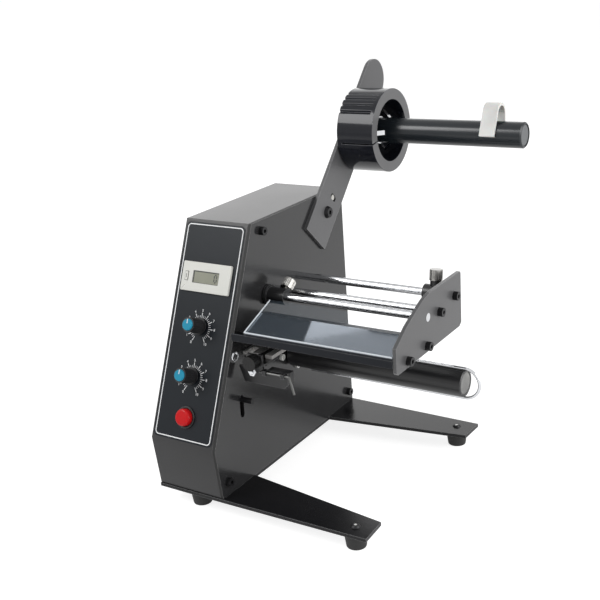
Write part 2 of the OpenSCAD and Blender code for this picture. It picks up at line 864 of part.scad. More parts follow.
module roll_clip() {
    // white strap over the shaft: a leaning front leg, a round top, an upright back leg
    r_in = shaft_d / 2 + run;
    top_c = [r_in - clip_top_r, shaft_d / 2 + 5];
    reach = sqrt(norm(top_c) ^ 2 - (r_in - clip_top_r) ^ 2);
    lean = asin((r_in - clip_top_r) / norm(top_c)) + atan2(top_c[0], top_c[1]);
    at_frame() color([0.9, 0.9, 0.88])
        translate([0, hub_c[0], hub_c[1]]) {
            rotate([-lean, 0, 0])
                translate([clip_x, -r_in - clip_t, -clip_leg]) cube([clip_w, clip_t, clip_leg + reach + eps]);
            translate([clip_x, r_in, 1 - clip_leg]) cube([clip_w, clip_t, top_c[1] + clip_leg - 1 + eps]);
            intersection() {
                difference() {
                    bar_x(clip_x, clip_x + clip_w, top_c, 2 * (clip_top_r + clip_t));
                    bar_x(clip_x - 1, clip_x + clip_w + 1, top_c, 2 * clip_top_r);
                }
                slab(clip_x - 1, clip_x + clip_w + 1)
                    polygon([
                        top_c, top_c + [40, 0], top_c + [40, 40], top_c + [0, 40],
                        top_c + 40 * [-cos(lean), sin(lean)]]);
            }
        }
}

// ---- Guide rods, end plate and peel plate ----

module rod(p, x1) {
    difference() {
        bar_x(0, x1, p, rod_d);
        bar_x(-1, rod_tap, p, screw_d + 2 * snug);
        if (x1 <= end_in)
            bar_x(x1 - rod_tap, x1 + 1, p, screw_d + 2 * snug);
    }
}

module guide_rods() {
    at_frame() color([0.82, 0.83, 0.85])
        for (p = [rear_rod, middle_rod])
            rod(p, end_in);
}

module front_guide_rod() {
    // this rod runs through the end plate and stands flush with it
    at_frame() color([0.82, 0.83, 0.85]) rod(front_rod, end_at);
}

module rod_screws() {
    // from inside the housing into the rods and the peel support
    at_frame() color([0.5, 0.5, 0.52])
        for (p = concat([rear_rod, middle_rod, front_rod], lower_screws))
            mirror([1, 0, 0]) cap_screw(plate_t, p, plate_t + screw_grip);
}

end_outline = [
    [end_front + 2, end_bottom], [end_rear - 3.5, end_bottom], [end_rear, end_bottom + 2.5],
    [end_rear, end_top - 1.5], [end_rear - 1.5, end_top], [91, end_top],
    [83, end_top - 0.8], [76, end_top - 2.8], [65, end_top - 7],
    [49, end_top - 14], [40, end_top - 19.5], [end_front, end_bottom + 20.5], [end_front, end_bottom + 2]];

module end_plate() {
    at_frame() color([0.24, 0.24, 0.25])
        difference() {
            slab(end_in, end_at) polygon(end_outline);
            for (p = concat([rear_rod, middle_rod], lower_screws))
                bar_x(end_in - 1, end_at + 1, p, screw_d + 2 * snug);
            bar_x(end_in - 1, end_at + 1, front_rod, rod_d + 2 * snug);
        }
}

module end_plate_screws() {
    at_frame() color([0.06, 0.06, 0.07])
        for (p = concat([rear_rod, middle_rod], lower_screws))
            cap_screw(end_at, p, plate_t + screw_grip);
}

function slope_pt(s, h = 0) = [peel_y, peel_z] + s * slope_dir + h * slope_out;

module peel_support() {
    // flat bar from the side plate to the end plate, with a gusset at each end of the peel plate
    at_frame() color([0.08, 0.08, 0.09])
        difference() {
            union() {
                translate([0, support_y0, support_z0])
                    cube([end_in, support_y1 - support_y0, support_t]);
                for (x = [peel_gap, end_in - plate_t])
                    slab(x, x + plate_t)
                        polygon([
                            [support_y0, support_z1 - eps], [support_y0 + 13, support_z1 - eps],
                            gusset_top(support_y0 + 13), gusset_top(support_y0)]);
            }
            for (p = lower_screws) {
                bar_x(-1, rod_tap, p, screw_d + 2 * snug);
                bar_x(end_in - rod_tap, end_in + 1, p, screw_d + 2 * snug);
            }
        }
}

// a point on the peel plate's underside above y
function gusset_top(y) = [y, peel_z + (y - peel_y) * tan(peel_slope) - peel_t / cos(peel_slope)];

module peel_plate() {
    // polished folded sheet: the slope, the nose and a short return under it
    at_frame() color([0.62, 0.65, 0.68])
        union() {
            slab(peel_gap, end_in)
                polygon([
                    slope_pt(0), slope_pt(peel_len), slope_pt(peel_len, -peel_t),
                    [peel_y + peel_t, peel_z + peel_t * tan(peel_slope) - peel_t / cos(peel_slope)],
                    [peel_y + peel_t, peel_z - 3], [peel_y, peel_z - 3]]);
            slab(0, end_in)
                polygon([
                    [peel_y, peel_z - lip_h], [support_y0, peel_z - lip_h],
                    [support_y0, peel_z - lip_h + peel_t], [peel_y + peel_t, peel_z - lip_h + peel_t],
                    [peel_y + peel_t, peel_z - 2.5], [peel_y, peel_z - 2.5]]);
        }
}

module clear_sheet() {
    at_frame() color([0.8, 0.87, 0.9, 0.35])
        slab(peel_gap - 1, end_in - clear)
            polygon([
                slope_pt(-0.4), slope_pt(sheet_len), slope_pt(sheet_len, sheet_t), slope_pt(-0.4, sheet_t)]);
}

module collar(p, x, turned) {
    // a sleeve and a flange with a running bore, tapped for its thumb screw
    s = turned ? 1 : 0;
    difference() {
        union() {
            bar_x(x, x + collar_len, p, collar_d);
            bar_x(x + s * (collar_len - collar_flange_t), x + collar_flange_t + s * (collar_len - collar_flange_t), p, flange_d);
        }
        bar_x(x - 1, x + collar_len + 1, p, rod_d + 2 * run);
        children();
    }
}

module thumb_at(p, x, tilt) {
    translate([x, p[0], p[1]]) rotate([tilt, 0, 0]) children();
}

module thumb_screw(r_tip, r_head) {
    ridges = 24;
    difference() {
        union() {
            translate([0, 0, r_tip]) cylinder(h = r_head - r_tip + eps, d = thumb_d);
            translate([0, 0, r_head]) cylinder(h = thumb_head_h, d = thumb_head_d);
        }
        for (i = [0:ridges - 1])
            rotate([0, 0, i * 360 / ridges])
                translate([thumb_head_d / 2 + 0.2, 0, r_head + 1.2])
                    cylinder(h = thumb_head_h, d = 0.8, $fn = 16);
    }
}

left_thumb_x = left_collar_x + 13;
right_thumb_x = right_collar_x + 9;
left_tilt = -58;
right_tilt = -8;
thumb_tip = rod_d / 2 + 2 * run;
left_head_r = collar_d / 2 + 1.2;
right_boss_r = collar_d / 2 + 3.6;
right_head_r = right_boss_r + 0.4;

module left_collar() {
    at_frame() color([0.12, 0.12, 0.13])
        collar(front_rod, left_collar_x, false)
            thumb_at(front_rod, left_thumb_x, left_tilt) cylinder(h = 20, d = thumb_d + 2 * run);
}

module left_thumb_screw() {
    at_frame() color([0.8, 0.8, 0.78])
        thumb_at(front_rod, left_thumb_x, left_tilt) thumb_screw(thumb_tip, left_head_r);
}

module right_collar() {
    at_frame() color([0.12, 0.12, 0.13])
        difference() {
            union() {
                collar(rear_rod, right_collar_x, true);
                thumb_at(rear_rod, right_thumb_x, right_tilt)
                    translate([0, 0, collar_d / 2 - 2]) cylinder(h = right_boss_r - collar_d / 2 + 2, d = 9);
            }
            thumb_at(rear_rod, right_thumb_x, right_tilt) cylinder(h = 20, d = thumb_d + 2 * run);
        }
}

module right_thumb_screw() {
    at_frame() color([0.8, 0.8, 0.78])
        thumb_at(rear_rod, right_thumb_x, right_tilt) thumb_screw(thumb_tip, right_head_r);
}

// ---- Rewind roller and its drive ----

roller_c = [roller_y, roller_z];
motor_angles = [175, 55, 295];
function motor_spot(a) = roller_c + motor_bolt_r * [cos(a), sin(a)];

module roller_motor() {
    at_frame() color([0.6, 0.6, 0.62])
        difference() {
            union() {
                bar_x(side_in - gearbox_len, side_in, roller_c, motor_d);
                bar_x(side_in - gearbox_len - can_len, side_in - gearbox_len + eps, roller_c, motor_d - 4);
                bar_x(side_in - eps, side_in + boss_h - 0.2, roller_c, boss_d);
            }
            bar_x(side_in - 18, side_in + boss_h + 1, roller_c, motor_shaft_d + 2 * run);
            for (a = motor_angles)
                bar_x(side_in - 6, side_in + 1, motor_spot(a), motor_bolt_d + 2 * snug);
        }
}

module motor_screws() {
    at_frame() color([0.85, 0.85, 0.84])
        for (a = motor_angles)
            difference() {
                union() {
                    bar_x(side_in - 5, eps, motor_spot(a), motor_bolt_d);
                    bar_x(0, motor_head_h, motor_spot(a), motor_head_d);
                }
                translate([motor_head_h - 1, motor_spot(a)[0] - 2, motor_spot(a)[1] - 0.4]) cube([2, 4, 0.8]);
                translate([motor_head_h - 1, motor_spot(a)[0] - 0.4, motor_spot(a)[1] - 2]) cube([2, 0.8, 4]);
            }
}

module motor_shaft() {
    at_frame() color([0.75, 0.76, 0.78])
        bar_x(side_in - 17.7, roller_x + drive_len - 2, roller_c, motor_shaft_d);
}

module rewind_roller() {
    at_frame() color([0.16, 0.16, 0.17])
        translate([0, roller_y, roller_z]) rotate([0, 90, 0])
            rotate_extrude()
                polygon([
                    [roller_d / 2 - roller_wall, roller_x], [roller_d / 2, roller_x],
                    [roller_d / 2, roller_reach - 0.6], [roller_d / 2 - 0.6, roller_reach],
                    [roller_d / 2 - roller_wall, roller_reach]]);
}

module roller_drive_plug() {
    at_frame() color([0.5, 0.5, 0.52])
        difference() {
            bar_x(roller_x, roller_x + drive_len, roller_c, roller_d - 2 * roller_wall - 2 * snug);
            bar_x(roller_x - 1, roller_x + drive_len - 2, roller_c, motor_shaft_d + 2 * snug);
        }
}

module roller_end_plug() {
    at_frame() color([0.5, 0.5, 0.5])
        bar_x(roller_reach - 12, roller_reach - 0.2, roller_c, roller_d - 2 * roller_wall - 2 * snug);
}

module liner_clip() {
    // long hairpin: a leg over and a leg under the roller, joined round its end
    at_frame() color([0.85, 0.86, 0.88]) {
        for (s = [-1, 1])
            bar_x(clip_leg_x, clip_bend_x + eps, [roller_y, roller_z + s * clip_leg_r], wire_d, $fn = 24);
        translate([clip_bend_x, roller_y, roller_z]) rotate([90, 0, 0])
            rotate([0, 0, -90]) rotate_extrude(angle = 180)
                translate([clip_leg_r, 0]) circle(d = wire_d, $fn = 24);
    }
}

// ---- Label feeler ----

rail_screws = [[rail_y1 - 4, rail_z - 5], [rail_y1 - 16, rail_z - 5]];
lug_xs = [rail_x1 - 1, feeler_w - 2];

module feeler_rail() {
    // zinc fork on the side plate; the carriage slides along its two prongs
    at_frame() color([0.75, 0.75, 0.73])
        difference() {
            union() {
                translate([0, rail_y0, rail_z]) cube([rail_x1, rail_y1 - rail_y0, rail_t]);
                translate([0, rail_y0 + 4, rail_z - 10]) cube([2, rail_y1 - rail_y0 - 4, 10 + eps]);
                translate([rail_mid - 4, rail_y1 - 7, rail_z - 1.5]) cube([8, 7, 6.5]);
            }
            translate([rail_mid, rail_y1 - 8, stud_z]) rotate([-90, 0, 0])
                cylinder(h = 9, d = stud_d + 2 * run);
            translate([rail_x0 + rail_prong, rail_y0 - 1, rail_z - 1])
                cube([rail_slot, rail_y1 - rail_y0 - 6, rail_t + 2]);
            translate([2.5, rail_y0 - 1, rail_z - 1]) cube([rail_x0 - 2.5, 12, rail_t + 2]);
            for (p = rail_screws)
                bar_x(-1, 3, p, motor_bolt_d + 2 * snug);
        }
}

module feeler_carriage() {
    // front flange, a shelf that slides under the prongs and an ear for the knob's stud
    at_frame() color([0.13, 0.13, 0.14])
        difference() {
            union() {
                translate([2.6, feeler_y, 0]) rotate([90, 0, 0]) mirror([0, 0, 1]) linear_extrude(carriage_t)
                    polygon([
                        [0, feeler_z], [4.5, feeler_z - carriage_h], [feeler_w - 4, feeler_z - carriage_h],
                        [feeler_w, feeler_z - carriage_h + 4], [feeler_w, feeler_z]]);
                translate([rail_x0, feeler_y, rail_z - run - carriage_t])
                    cube([rail_x1 - rail_x0, 21, carriage_t]);
                translate([rail_mid - 7, feeler_y, feeler_z - 1])
                    cube([14, carriage_t, stud_z - feeler_z + 6]);
                for (x = lug_xs)
                    translate([x, feeler_axis[0] - 1.9, feeler_axis[1] - 2])
                        cube([lug, feeler_y - feeler_axis[0] + 2, 4]);
            }
            bar_x(lug_xs[0] - 1, lug_xs[1] + lug + 1, feeler_axis, feeler_wire + 2 * run, $fn = 24);
            translate([rail_mid, feeler_y - 1, stud_z]) rotate([-90, 0, 0])
                cylinder(h = carriage_t + 2, d = stud_d + 2 * run);
            // the stud runs in a groove along the shelf
            translate([rail_mid, feeler_y + carriage_t, stud_z]) rotate([-90, 0, 0])
                cylinder(h = 21, d = stud_d + 2 * clear);
        }
}

module micro_switch() {
    at_frame() color([0.1, 0.1, 0.11])
        translate([rail_x1 + 1, feeler_y + carriage_t, feeler_z - carriage_h + 3])
            cube(switch_size);
}

module label_feeler() {
    // cranked wire: a pivot along X in front of the flange, bent down at its free end
    x0 = rail_x1 - 4;
    x1 = feeler_w + 2.6 + 2.5;
    at_frame() color([0.8, 0.8, 0.8]) {
        bar_x(x0, x1, feeler_axis, feeler_wire, $fn = 24);
        translate([x1, feeler_axis[0], feeler_axis[1]]) sphere(d = feeler_wire, $fn = 24);
        translate([x1, feeler_axis[0], feeler_axis[1]]) rotate([180 - 4, -18, 0])
            cylinder(h = feeler_drop, d = feeler_wire, $fn = 24);
    }
}

module adjust_knob() {
    // knurled knob on a stud that runs back between the prongs, with its nut
    ridges = 22;
    at_frame() color([0.07, 0.07, 0.07])
        translate([rail_mid, feeler_y, stud_z]) rotate([90, 0, 0])
            difference() {
                union() {
                    translate([0, 0, clear]) cylinder(h = adjust_h, d = adjust_d);
                    translate([0, 0, -stud_len]) cylinder(h = stud_len + clear + eps, d = stud_d);
                }
                for (i = [0:ridges - 1])
                    rotate([0, 0, i * 360 / ridges])
                        translate([adjust_d / 2 + 0.25, 0, -1]) cylinder(h = adjust_h, d = 1, $fn = 16);
            }
}

module tension_peg() {
    // a round peg through the side plate's slot, on a block that slides inside
    peg_z = slot_z1 - slot_w / 2 - 0.4;
    at_frame() color([0.2, 0.2, 0.21])
        union() {
            bar_x(side_in - eps, peg_out, [slot_y, peg_z], peg_d);
            translate([side_in - 4, slot_y - 7, peg_z - 6]) cube([4, 14, 12]);
        }
}

base_plate();
rubber_feet();
foot_screws();
housing_shell();
side_plate();
corner_blocks();
housing_screws();
panel_overlay();
counter_case();
counter_window();
counter_reset_key();
length_knob();
length_knob_cap();
length_pot();
speed_knob();
speed_knob_cap();
speed_pot();
power_button_cap();
power_switch_body();
control_board();
transformer();
power_inlet();
fuse_holder();
unwind_arm();
arm_screw();
arm_pin();
unwind_axle();
axle_nut();
axle_ring();
hub_ring();
hub_springs();
roll_shaft();
shaft_bushes();
shaft_cap();
roll_clip();
guide_rods();
front_guide_rod();
rod_screws();
end_plate();
end_plate_screws();
peel_support();
peel_plate();
clear_sheet();
left_collar();
left_thumb_screw();
right_collar();
right_thumb_screw();
roller_motor();
motor_screws();
motor_shaft();
rewind_roller();
roller_drive_plug();
roller_end_plug();
liner_clip();
feeler_rail();
feeler_carriage();
micro_switch();
label_feeler();
adjust_knob();
tension_peg();
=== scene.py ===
import json
import bmesh
import bpy
from math import cos, pi, radians, sin
from mathutils import Matrix, Vector


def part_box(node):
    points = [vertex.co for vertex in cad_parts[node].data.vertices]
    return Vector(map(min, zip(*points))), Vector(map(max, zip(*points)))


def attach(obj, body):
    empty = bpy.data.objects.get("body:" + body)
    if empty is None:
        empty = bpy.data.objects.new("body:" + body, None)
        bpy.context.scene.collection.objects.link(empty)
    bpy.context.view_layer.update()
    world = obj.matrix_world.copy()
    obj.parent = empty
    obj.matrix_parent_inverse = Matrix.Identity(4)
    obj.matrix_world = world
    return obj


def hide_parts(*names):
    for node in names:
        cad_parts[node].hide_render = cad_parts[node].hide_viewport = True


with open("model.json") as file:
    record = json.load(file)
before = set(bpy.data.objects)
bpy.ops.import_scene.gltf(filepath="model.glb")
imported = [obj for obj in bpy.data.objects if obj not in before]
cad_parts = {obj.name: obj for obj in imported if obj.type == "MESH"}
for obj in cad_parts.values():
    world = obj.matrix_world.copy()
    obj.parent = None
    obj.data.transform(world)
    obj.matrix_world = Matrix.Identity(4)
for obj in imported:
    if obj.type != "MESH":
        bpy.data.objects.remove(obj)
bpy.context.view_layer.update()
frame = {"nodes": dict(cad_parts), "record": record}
nodes = frame["nodes"]
print("frame loaded:", len(nodes), "nodes")

mm = 0.001
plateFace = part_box("side_plate")[1].x          # outer face of the side plate
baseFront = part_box("base_plate")[0].y          # front edge of the base


def place(x, y, z):
    # millimetres from the side plate's face, the base's front edge and the floor
    return Vector((plateFace + x * mm, baseFront + y * mm, z * mm))


camera = {"azimuth": 33.83, "elevation": 19.10, "roll": -4.10, "spot": (454.93, -547.58, 426.29), "focal": 1001.79}


def addCamera():
    az, el, roll = (radians(camera[k]) for k in ("azimuth", "elevation", "roll"))
    back = Vector((sin(az) * cos(el), -cos(az) * cos(el), sin(el)))
    right = Vector((cos(az), sin(az), 0))
    up = back.cross(right)
    right, up = cos(roll) * right + sin(roll) * up, -sin(roll) * right + cos(roll) * up
    cam = bpy.data.objects.new("viewCamera", bpy.data.cameras.new("viewCamera"))
    bpy.context.scene.collection.objects.link(cam)
    cam.data.sensor_width = 36
    cam.data.lens = camera["focal"] * 36 / 600
    cam.data.clip_start, cam.data.clip_end = 0.01, 60
    turn = Matrix((right, up, back)).transposed().to_4x4()
    cam.matrix_world = Matrix.Translation(place(*camera["spot"])) @ turn
    bpy.context.scene.camera = cam


addCamera()
print("camera set")


def newGroup(name, inputs, outputs):
    # inputs and outputs are name -> (socket type, default)
    tree = bpy.data.node_groups.new(name, "ShaderNodeTree")
    for label, (kind, value) in inputs.items():
        socket = tree.interface.new_socket(label, in_out="INPUT", socket_type=kind)
        if value is not None:
            socket.default_value = value
    for label, kind in outputs.items():
        tree.interface.new_socket(label, in_out="OUTPUT", socket_type=kind)
    return tree, tree.nodes.new("NodeGroupInput"), tree.nodes.new("NodeGroupOutput")


def mathNode(tree, kind, a, b=None, c=None, clamp=False):
    node = tree.nodes.new("ShaderNodeMath")
    node.operation = kind
    node.use_clamp = clamp
    for i, v in enumerate((a, b, c)):
        if v is None:
            continue
        if isinstance(v, (int, float)):
            node.inputs[i].default_value = v
        else:
            tree.links.new(v, node.inputs[i])
    return node.outputs[0]


def noiseNode(tree, vector, scale, detail=3.0, rough=0.5):
    node = tree.nodes.new("ShaderNodeTexNoise")
    tree.links.new(vector, node.inputs["Vector"])
    for label, v in (("Scale", scale), ("Detail", detail), ("Roughness", rough)):
        if isinstance(v, (int, float)):
            node.inputs[label].default_value = v
        else:
            tree.links.new(v, node.inputs[label])
    return node.outputs["Fac"]


def rampNode(tree, fac, low, high):
    node = tree.nodes.new("ShaderNodeMapRange")
    node.interpolation_type = "SMOOTHSTEP"
    tree.links.new(fac, node.inputs["Value"])
    node.inputs["From Min"].default_value = low
    node.inputs["From Max"].default_value = high
    return node.outputs["Result"]


def makeCoatGrain():
    # powder coat: a fine orange peel, slow blotches, and thin pale scuffs
    tree, src, out = newGroup(
        "coatGrain",
        {"Vector": ("NodeSocketVector", None), "Grain Scale": ("NodeSocketFloat", 900.0),
         "Blotch Scale": ("NodeSocketFloat", 9.0), "Scuff": ("NodeSocketFloat", 0.5)},
        {"Height": "NodeSocketFloat", "Blotch": "NodeSocketFloat", "Scuffs": "NodeSocketFloat"})
    grain = noiseNode(tree, src.outputs["Vector"], src.outputs["Grain Scale"], 2.0, 0.6)
    blotch = noiseNode(tree, src.outputs["Vector"], src.outputs["Blotch Scale"], 4.0, 0.55)
    stretch = tree.nodes.new("ShaderNodeMapping")
    tree.links.new(src.outputs["Vector"], stretch.inputs["Vector"])
    stretch.inputs["Scale"].default_value = (30, 240, 60)
    stretch.inputs["Rotation"].default_value = (0.5, 0.3, 0.8)
    lines = noiseNode(tree, stretch.outputs["Vector"], 1.0, 5.0, 0.7)
    patch = noiseNode(tree, src.outputs["Vector"], 24.0, 3.0, 0.6)
    thin = rampNode(tree, lines, 0.66, 0.72)
    where = rampNode(tree, patch, 0.54, 0.66)
    scuffs = mathNode(tree, "MULTIPLY", mathNode(tree, "MULTIPLY", thin, where), src.outputs["Scuff"], clamp=True)
    tree.links.new(grain, out.inputs["Height"])
    tree.links.new(blotch, out.inputs["Blotch"])
    tree.links.new(scuffs, out.inputs["Scuffs"])
    return tree


def makeTurnedGrain():
    # lathe marks and drawn lines round or along the X axis
    tree, src, out = newGroup(
        "turnedGrain",
        {"Vector": ("NodeSocketVector", None), "Along": ("NodeSocketFloat", 2000.0),
         "Across": ("NodeSocketFloat", 60.0)},
        {"Lines": "NodeSocketFloat", "Cloud": "NodeSocketFloat"})
    scale = tree.nodes.new("ShaderNodeCombineXYZ")
    tree.links.new(src.outputs["Along"], scale.inputs["X"])
    tree.links.new(src.outputs["Across"], scale.inputs["Y"])
    tree.links.new(src.outputs["Across"], scale.inputs["Z"])
    mul = tree.nodes.new("ShaderNodeVectorMath")
    mul.operation = "MULTIPLY"
    tree.links.new(src.outputs["Vector"], mul.inputs[0])
    tree.links.new(scale.outputs["Vector"], mul.inputs[1])
    lines = noiseNode(tree, mul.outputs["Vector"], 1.0, 4.0, 0.65)
    cloud = noiseNode(tree, src.outputs["Vector"], 45.0, 4.0, 0.6)
    tree.links.new(lines, out.inputs["Lines"])
    tree.links.new(cloud, out.inputs["Cloud"])
    return tree


def makeSpeckle():
    # small pits and specks, for rubber, cast plugs and moulded plastic
    tree, src, out = newGroup(
        "speckle",
        {"Vector": ("NodeSocketVector", None), "Scale": ("NodeSocketFloat", 1200.0),
         "Patch": ("NodeSocketFloat", 60.0)},
        {"Specks": "NodeSocketFloat", "Patches": "NodeSocketFloat"})
    cells = tree.nodes.new("ShaderNodeTexVoronoi")
    tree.links.new(src.outputs["Vector"], cells.inputs["Vector"])
    tree.links.new(src.outputs["Scale"], cells.inputs["Scale"])
    patches = noiseNode(tree, src.outputs["Vector"], src.outputs["Patch"], 4.0, 0.6)
    tree.links.new(cells.outputs["Distance"], out.inputs["Specks"])
    tree.links.new(patches, out.inputs["Patches"])
    return tree


def makeEdgeGlintAndWear():
    # painted edge highlight with edge wear: pale where a corner passes, by how far a bevelled normal turns from the
    # true one
    tree, src, out = newGroup(
        "edgeGlintAndWear",
        {"Radius": ("NodeSocketFloat", 0.001), "Break Up": ("NodeSocketFloat", 0.5)},
        {"Mask": "NodeSocketFloat"})
    bevel = tree.nodes.new("ShaderNodeBevel")
    bevel.samples = 4
    tree.links.new(src.outputs["Radius"], bevel.inputs["Radius"])
    dot = tree.nodes.new("ShaderNodeVectorMath")
    dot.operation = "DOT_PRODUCT"
    tree.links.new(bevel.outputs["Normal"], dot.inputs[0])
    tree.links.new(tree.nodes.new("ShaderNodeNewGeometry").outputs["Normal"], dot.inputs[1])
    turned = rampNode(tree, mathNode(tree, "SUBTRACT", 1.0, dot.outputs["Value"]), 0.01, 0.22)
    mask = mathNode(tree, "MULTIPLY", turned, src.outputs["Break Up"], clamp=True)
    tree.links.new(mask, out.inputs["Mask"])
    return tree


coatGrain = makeCoatGrain()
edgeGlintAndWear = makeEdgeGlintAndWear()
turnedGrain = makeTurnedGrain()
speckle = makeSpeckle()


def newMaterial(name, **sockets):
    mat = bpy.data.materials.new(name)
    mat.use_nodes = True
    tree = mat.node_tree
    shader = tree.nodes["Principled BSDF"]
    for label, v in sockets.items():
        shader.inputs[label.replace("_", " ")].default_value = v
    coords = tree.nodes.new("ShaderNodeTexCoord").outputs["Object"]
    return mat, tree, shader, coords


def useGroup(tree, group, coords, **values):
    node = tree.nodes.new("ShaderNodeGroup")
    node.node_tree = group
    tree.links.new(coords, node.inputs["Vector"])
    for label, v in values.items():
        node.inputs[label.replace("_", " ")].default_value = v
    return node.outputs


def mixColour(tree, fac, a, b):
    node = tree.nodes.new("ShaderNodeMix")
    node.data_type = "RGBA"
    if isinstance(fac, (int, float)):
        node.inputs[0].default_value = fac
    else:
        tree.links.new(fac, node.inputs[0])
    for i, v in ((6, a), (7, b)):
        if isinstance(v, tuple):
            node.inputs[i].default_value = (*v, 1)
        else:
            tree.links.new(v, node.inputs[i])
    return node.outputs[2]


def spread(tree, fac, low, high):
    # maps a 0-1 mask onto low-high
    node = tree.nodes.new("ShaderNodeMapRange")
    tree.links.new(fac, node.inputs["Value"])
    node.inputs["To Min"].default_value = low
    node.inputs["To Max"].default_value = high
    return node.outputs["Result"]


def addBump(tree, shader, height, strength, distance):
    bump = tree.nodes.new("ShaderNodeBump")
    bump.inputs["Strength"].default_value = strength
    bump.inputs["Distance"].default_value = distance
    tree.links.new(height, bump.inputs["Height"])
    tree.links.new(bump.outputs["Normal"], shader.inputs["Normal"])


def edgeGlintMask(tree, radius, breakUp):
    # the edge highlight and wear group: radius in millimetres, breakUp a number or a mask
    node = tree.nodes.new("ShaderNodeGroup")
    node.node_tree = edgeGlintAndWear
    node.inputs["Radius"].default_value = radius * mm
    if isinstance(breakUp, (int, float)):
        node.inputs["Break Up"].default_value = breakUp
    else:
        tree.links.new(breakUp, node.inputs["Break Up"])
    return node.outputs["Mask"]


def faceAlongX(tree):
    # how far a face looks along X, from -1 to 1
    split = tree.nodes.new("ShaderNodeSeparateXYZ")
    tree.links.new(tree.nodes.new("ShaderNodeTexCoord").outputs["Normal"], split.inputs[0])
    return split.outputs["X"]


def coated(name, dark, light, roughness, scuff=0.4, grain=900.0, bump=0.25, edge=0.0, edgeGlintTone=0.3, **sockets):
    mat, tree, shader, coords = newMaterial(name, **sockets)
    g = useGroup(tree, coatGrain, coords, Grain_Scale=grain, Scuff=scuff)
    body = mixColour(tree, g["Blotch"], dark, light)
    pale = tuple(min(1, c * 2.6 + 0.03) for c in light)
    body = mixColour(tree, g["Scuffs"], body, pale)
    if edge:
        # pale corners: painted edge highlight with edge wear
        mask = edgeGlintMask(tree, edge, spread(tree, g["Blotch"], 0.35, 1.0))
        body = mixColour(tree, mask, body, (edgeGlintTone, edgeGlintTone, edgeGlintTone * 1.02))
    tree.links.new(body, shader.inputs["Base Color"])
    tree.links.new(spread(tree, g["Blotch"], roughness - 0.06, roughness + 0.08), shader.inputs["Roughness"])
    addBump(tree, shader, g["Height"], bump, 0.0002)
    return mat


def bright(name, low, high, roughness, along=60.0, across=2200.0, metallic=1.0):
    mat, tree, shader, coords = newMaterial(name, Metallic=metallic)
    g = useGroup(tree, turnedGrain, coords, Along=along, Across=across)
    tree.links.new(mixColour(tree, g["Cloud"], low, high), shader.inputs["Base Color"])
    tree.links.new(spread(tree, g["Lines"], roughness * 0.6, roughness * 1.5), shader.inputs["Roughness"])
    addBump(tree, shader, g["Lines"], 0.06, 0.0001)
    return mat


def polishedSag(name, low, high, roughness, degrees):
    # mirror-polished plate whose surface sags a little about the X axis, which moves what it mirrors
    mat, tree, shader, coords = newMaterial(name, Metallic=1.0)
    g = useGroup(tree, turnedGrain, coords, Along=30.0, Across=700.0)
    tree.links.new(mixColour(tree, g["Cloud"], low, high), shader.inputs["Base Color"])
    tree.links.new(spread(tree, g["Lines"], roughness * 0.6, roughness * 1.5), shader.inputs["Roughness"])
    sag = tree.nodes.new("ShaderNodeVectorRotate")
    sag.rotation_type = "X_AXIS"
    sag.inputs["Angle"].default_value = radians(degrees)
    tree.links.new(tree.nodes.new("ShaderNodeNewGeometry").outputs["Normal"], sag.inputs["Vector"])
    tree.links.new(sag.outputs["Vector"], shader.inputs["Normal"])
    return mat


def moulded(name, dark, light, roughness, scale=1400.0, bump=0.12, **sockets):
    mat, tree, shader, coords = newMaterial(name, **sockets)
    g = useGroup(tree, speckle, coords, Scale=scale)
    tree.links.new(mixColour(tree, g["Patches"], dark, light), shader.inputs["Base Color"])
    tree.links.new(spread(tree, g["Patches"], roughness - 0.05, roughness + 0.07), shader.inputs["Roughness"])
    addBump(tree, shader, g["Specks"], bump, 0.0002)
    return mat


def cutRing(name, dark, light, cut):
    # glossy moulding whose flat end, facing +X, is a paler matt cut, with pale rims as a painted highlight
    mat, tree, shader, coords = newMaterial(name, Specular_IOR_Level=0.12, Coat_Weight=0.4, Coat_Roughness=0.06)
    g = useGroup(tree, speckle, coords, Scale=700.0)
    end = rampNode(tree, faceAlongX(tree), 0.85, 0.97)
    body = mixColour(tree, g["Patches"], dark, light)
    # pale rims: painted highlight
    body = mixColour(tree, edgeGlintMask(tree, 0.6, 0.8), mixColour(tree, end, body, cut), (0.36, 0.37, 0.40))
    tree.links.new(body, shader.inputs["Base Color"])
    tree.links.new(spread(tree, end, 0.18, 0.55), shader.inputs["Roughness"])
    addBump(tree, shader, g["Specks"], 0.05, 0.0002)
    return mat


def platePaint(name, dark, light, edgeShade):
    # the side plate's coat: slow pale clouds on its big face, and near-black thin edges, painted shade of the dark
    # gaps along them
    mat, tree, shader, coords = newMaterial(name, Specular_IOR_Level=0.5)
    g = useGroup(tree, coatGrain, coords, Grain_Scale=900.0, Blotch_Scale=6.5, Scuff=0.4)
    flat = rampNode(tree, mathNode(tree, "ABSOLUTE", faceAlongX(tree)), 0.25, 0.6)
    body = mixColour(tree, g["Blotch"], dark, light)
    body = mixColour(tree, g["Scuffs"], body, (0.09, 0.09, 0.09))
    # pale corners: painted edge highlight with edge wear
    mask = edgeGlintMask(tree, 0.4, spread(tree, g["Blotch"], 0.5, 1.0))
    body = mixColour(tree, mask, mixColour(tree, flat, edgeShade, body), (0.5, 0.5, 0.5))
    tree.links.new(body, shader.inputs["Base Color"])
    gloss = spread(tree, g["Blotch"], 0.13, 0.24)
    rough = mathNode(tree, "MULTIPLY_ADD", mathNode(tree, "SUBTRACT", 1.0, flat), 0.45, gloss, clamp=True)
    tree.links.new(rough, shader.inputs["Roughness"])
    addBump(tree, shader, g["Height"], 0.25, 0.0002)
    return mat


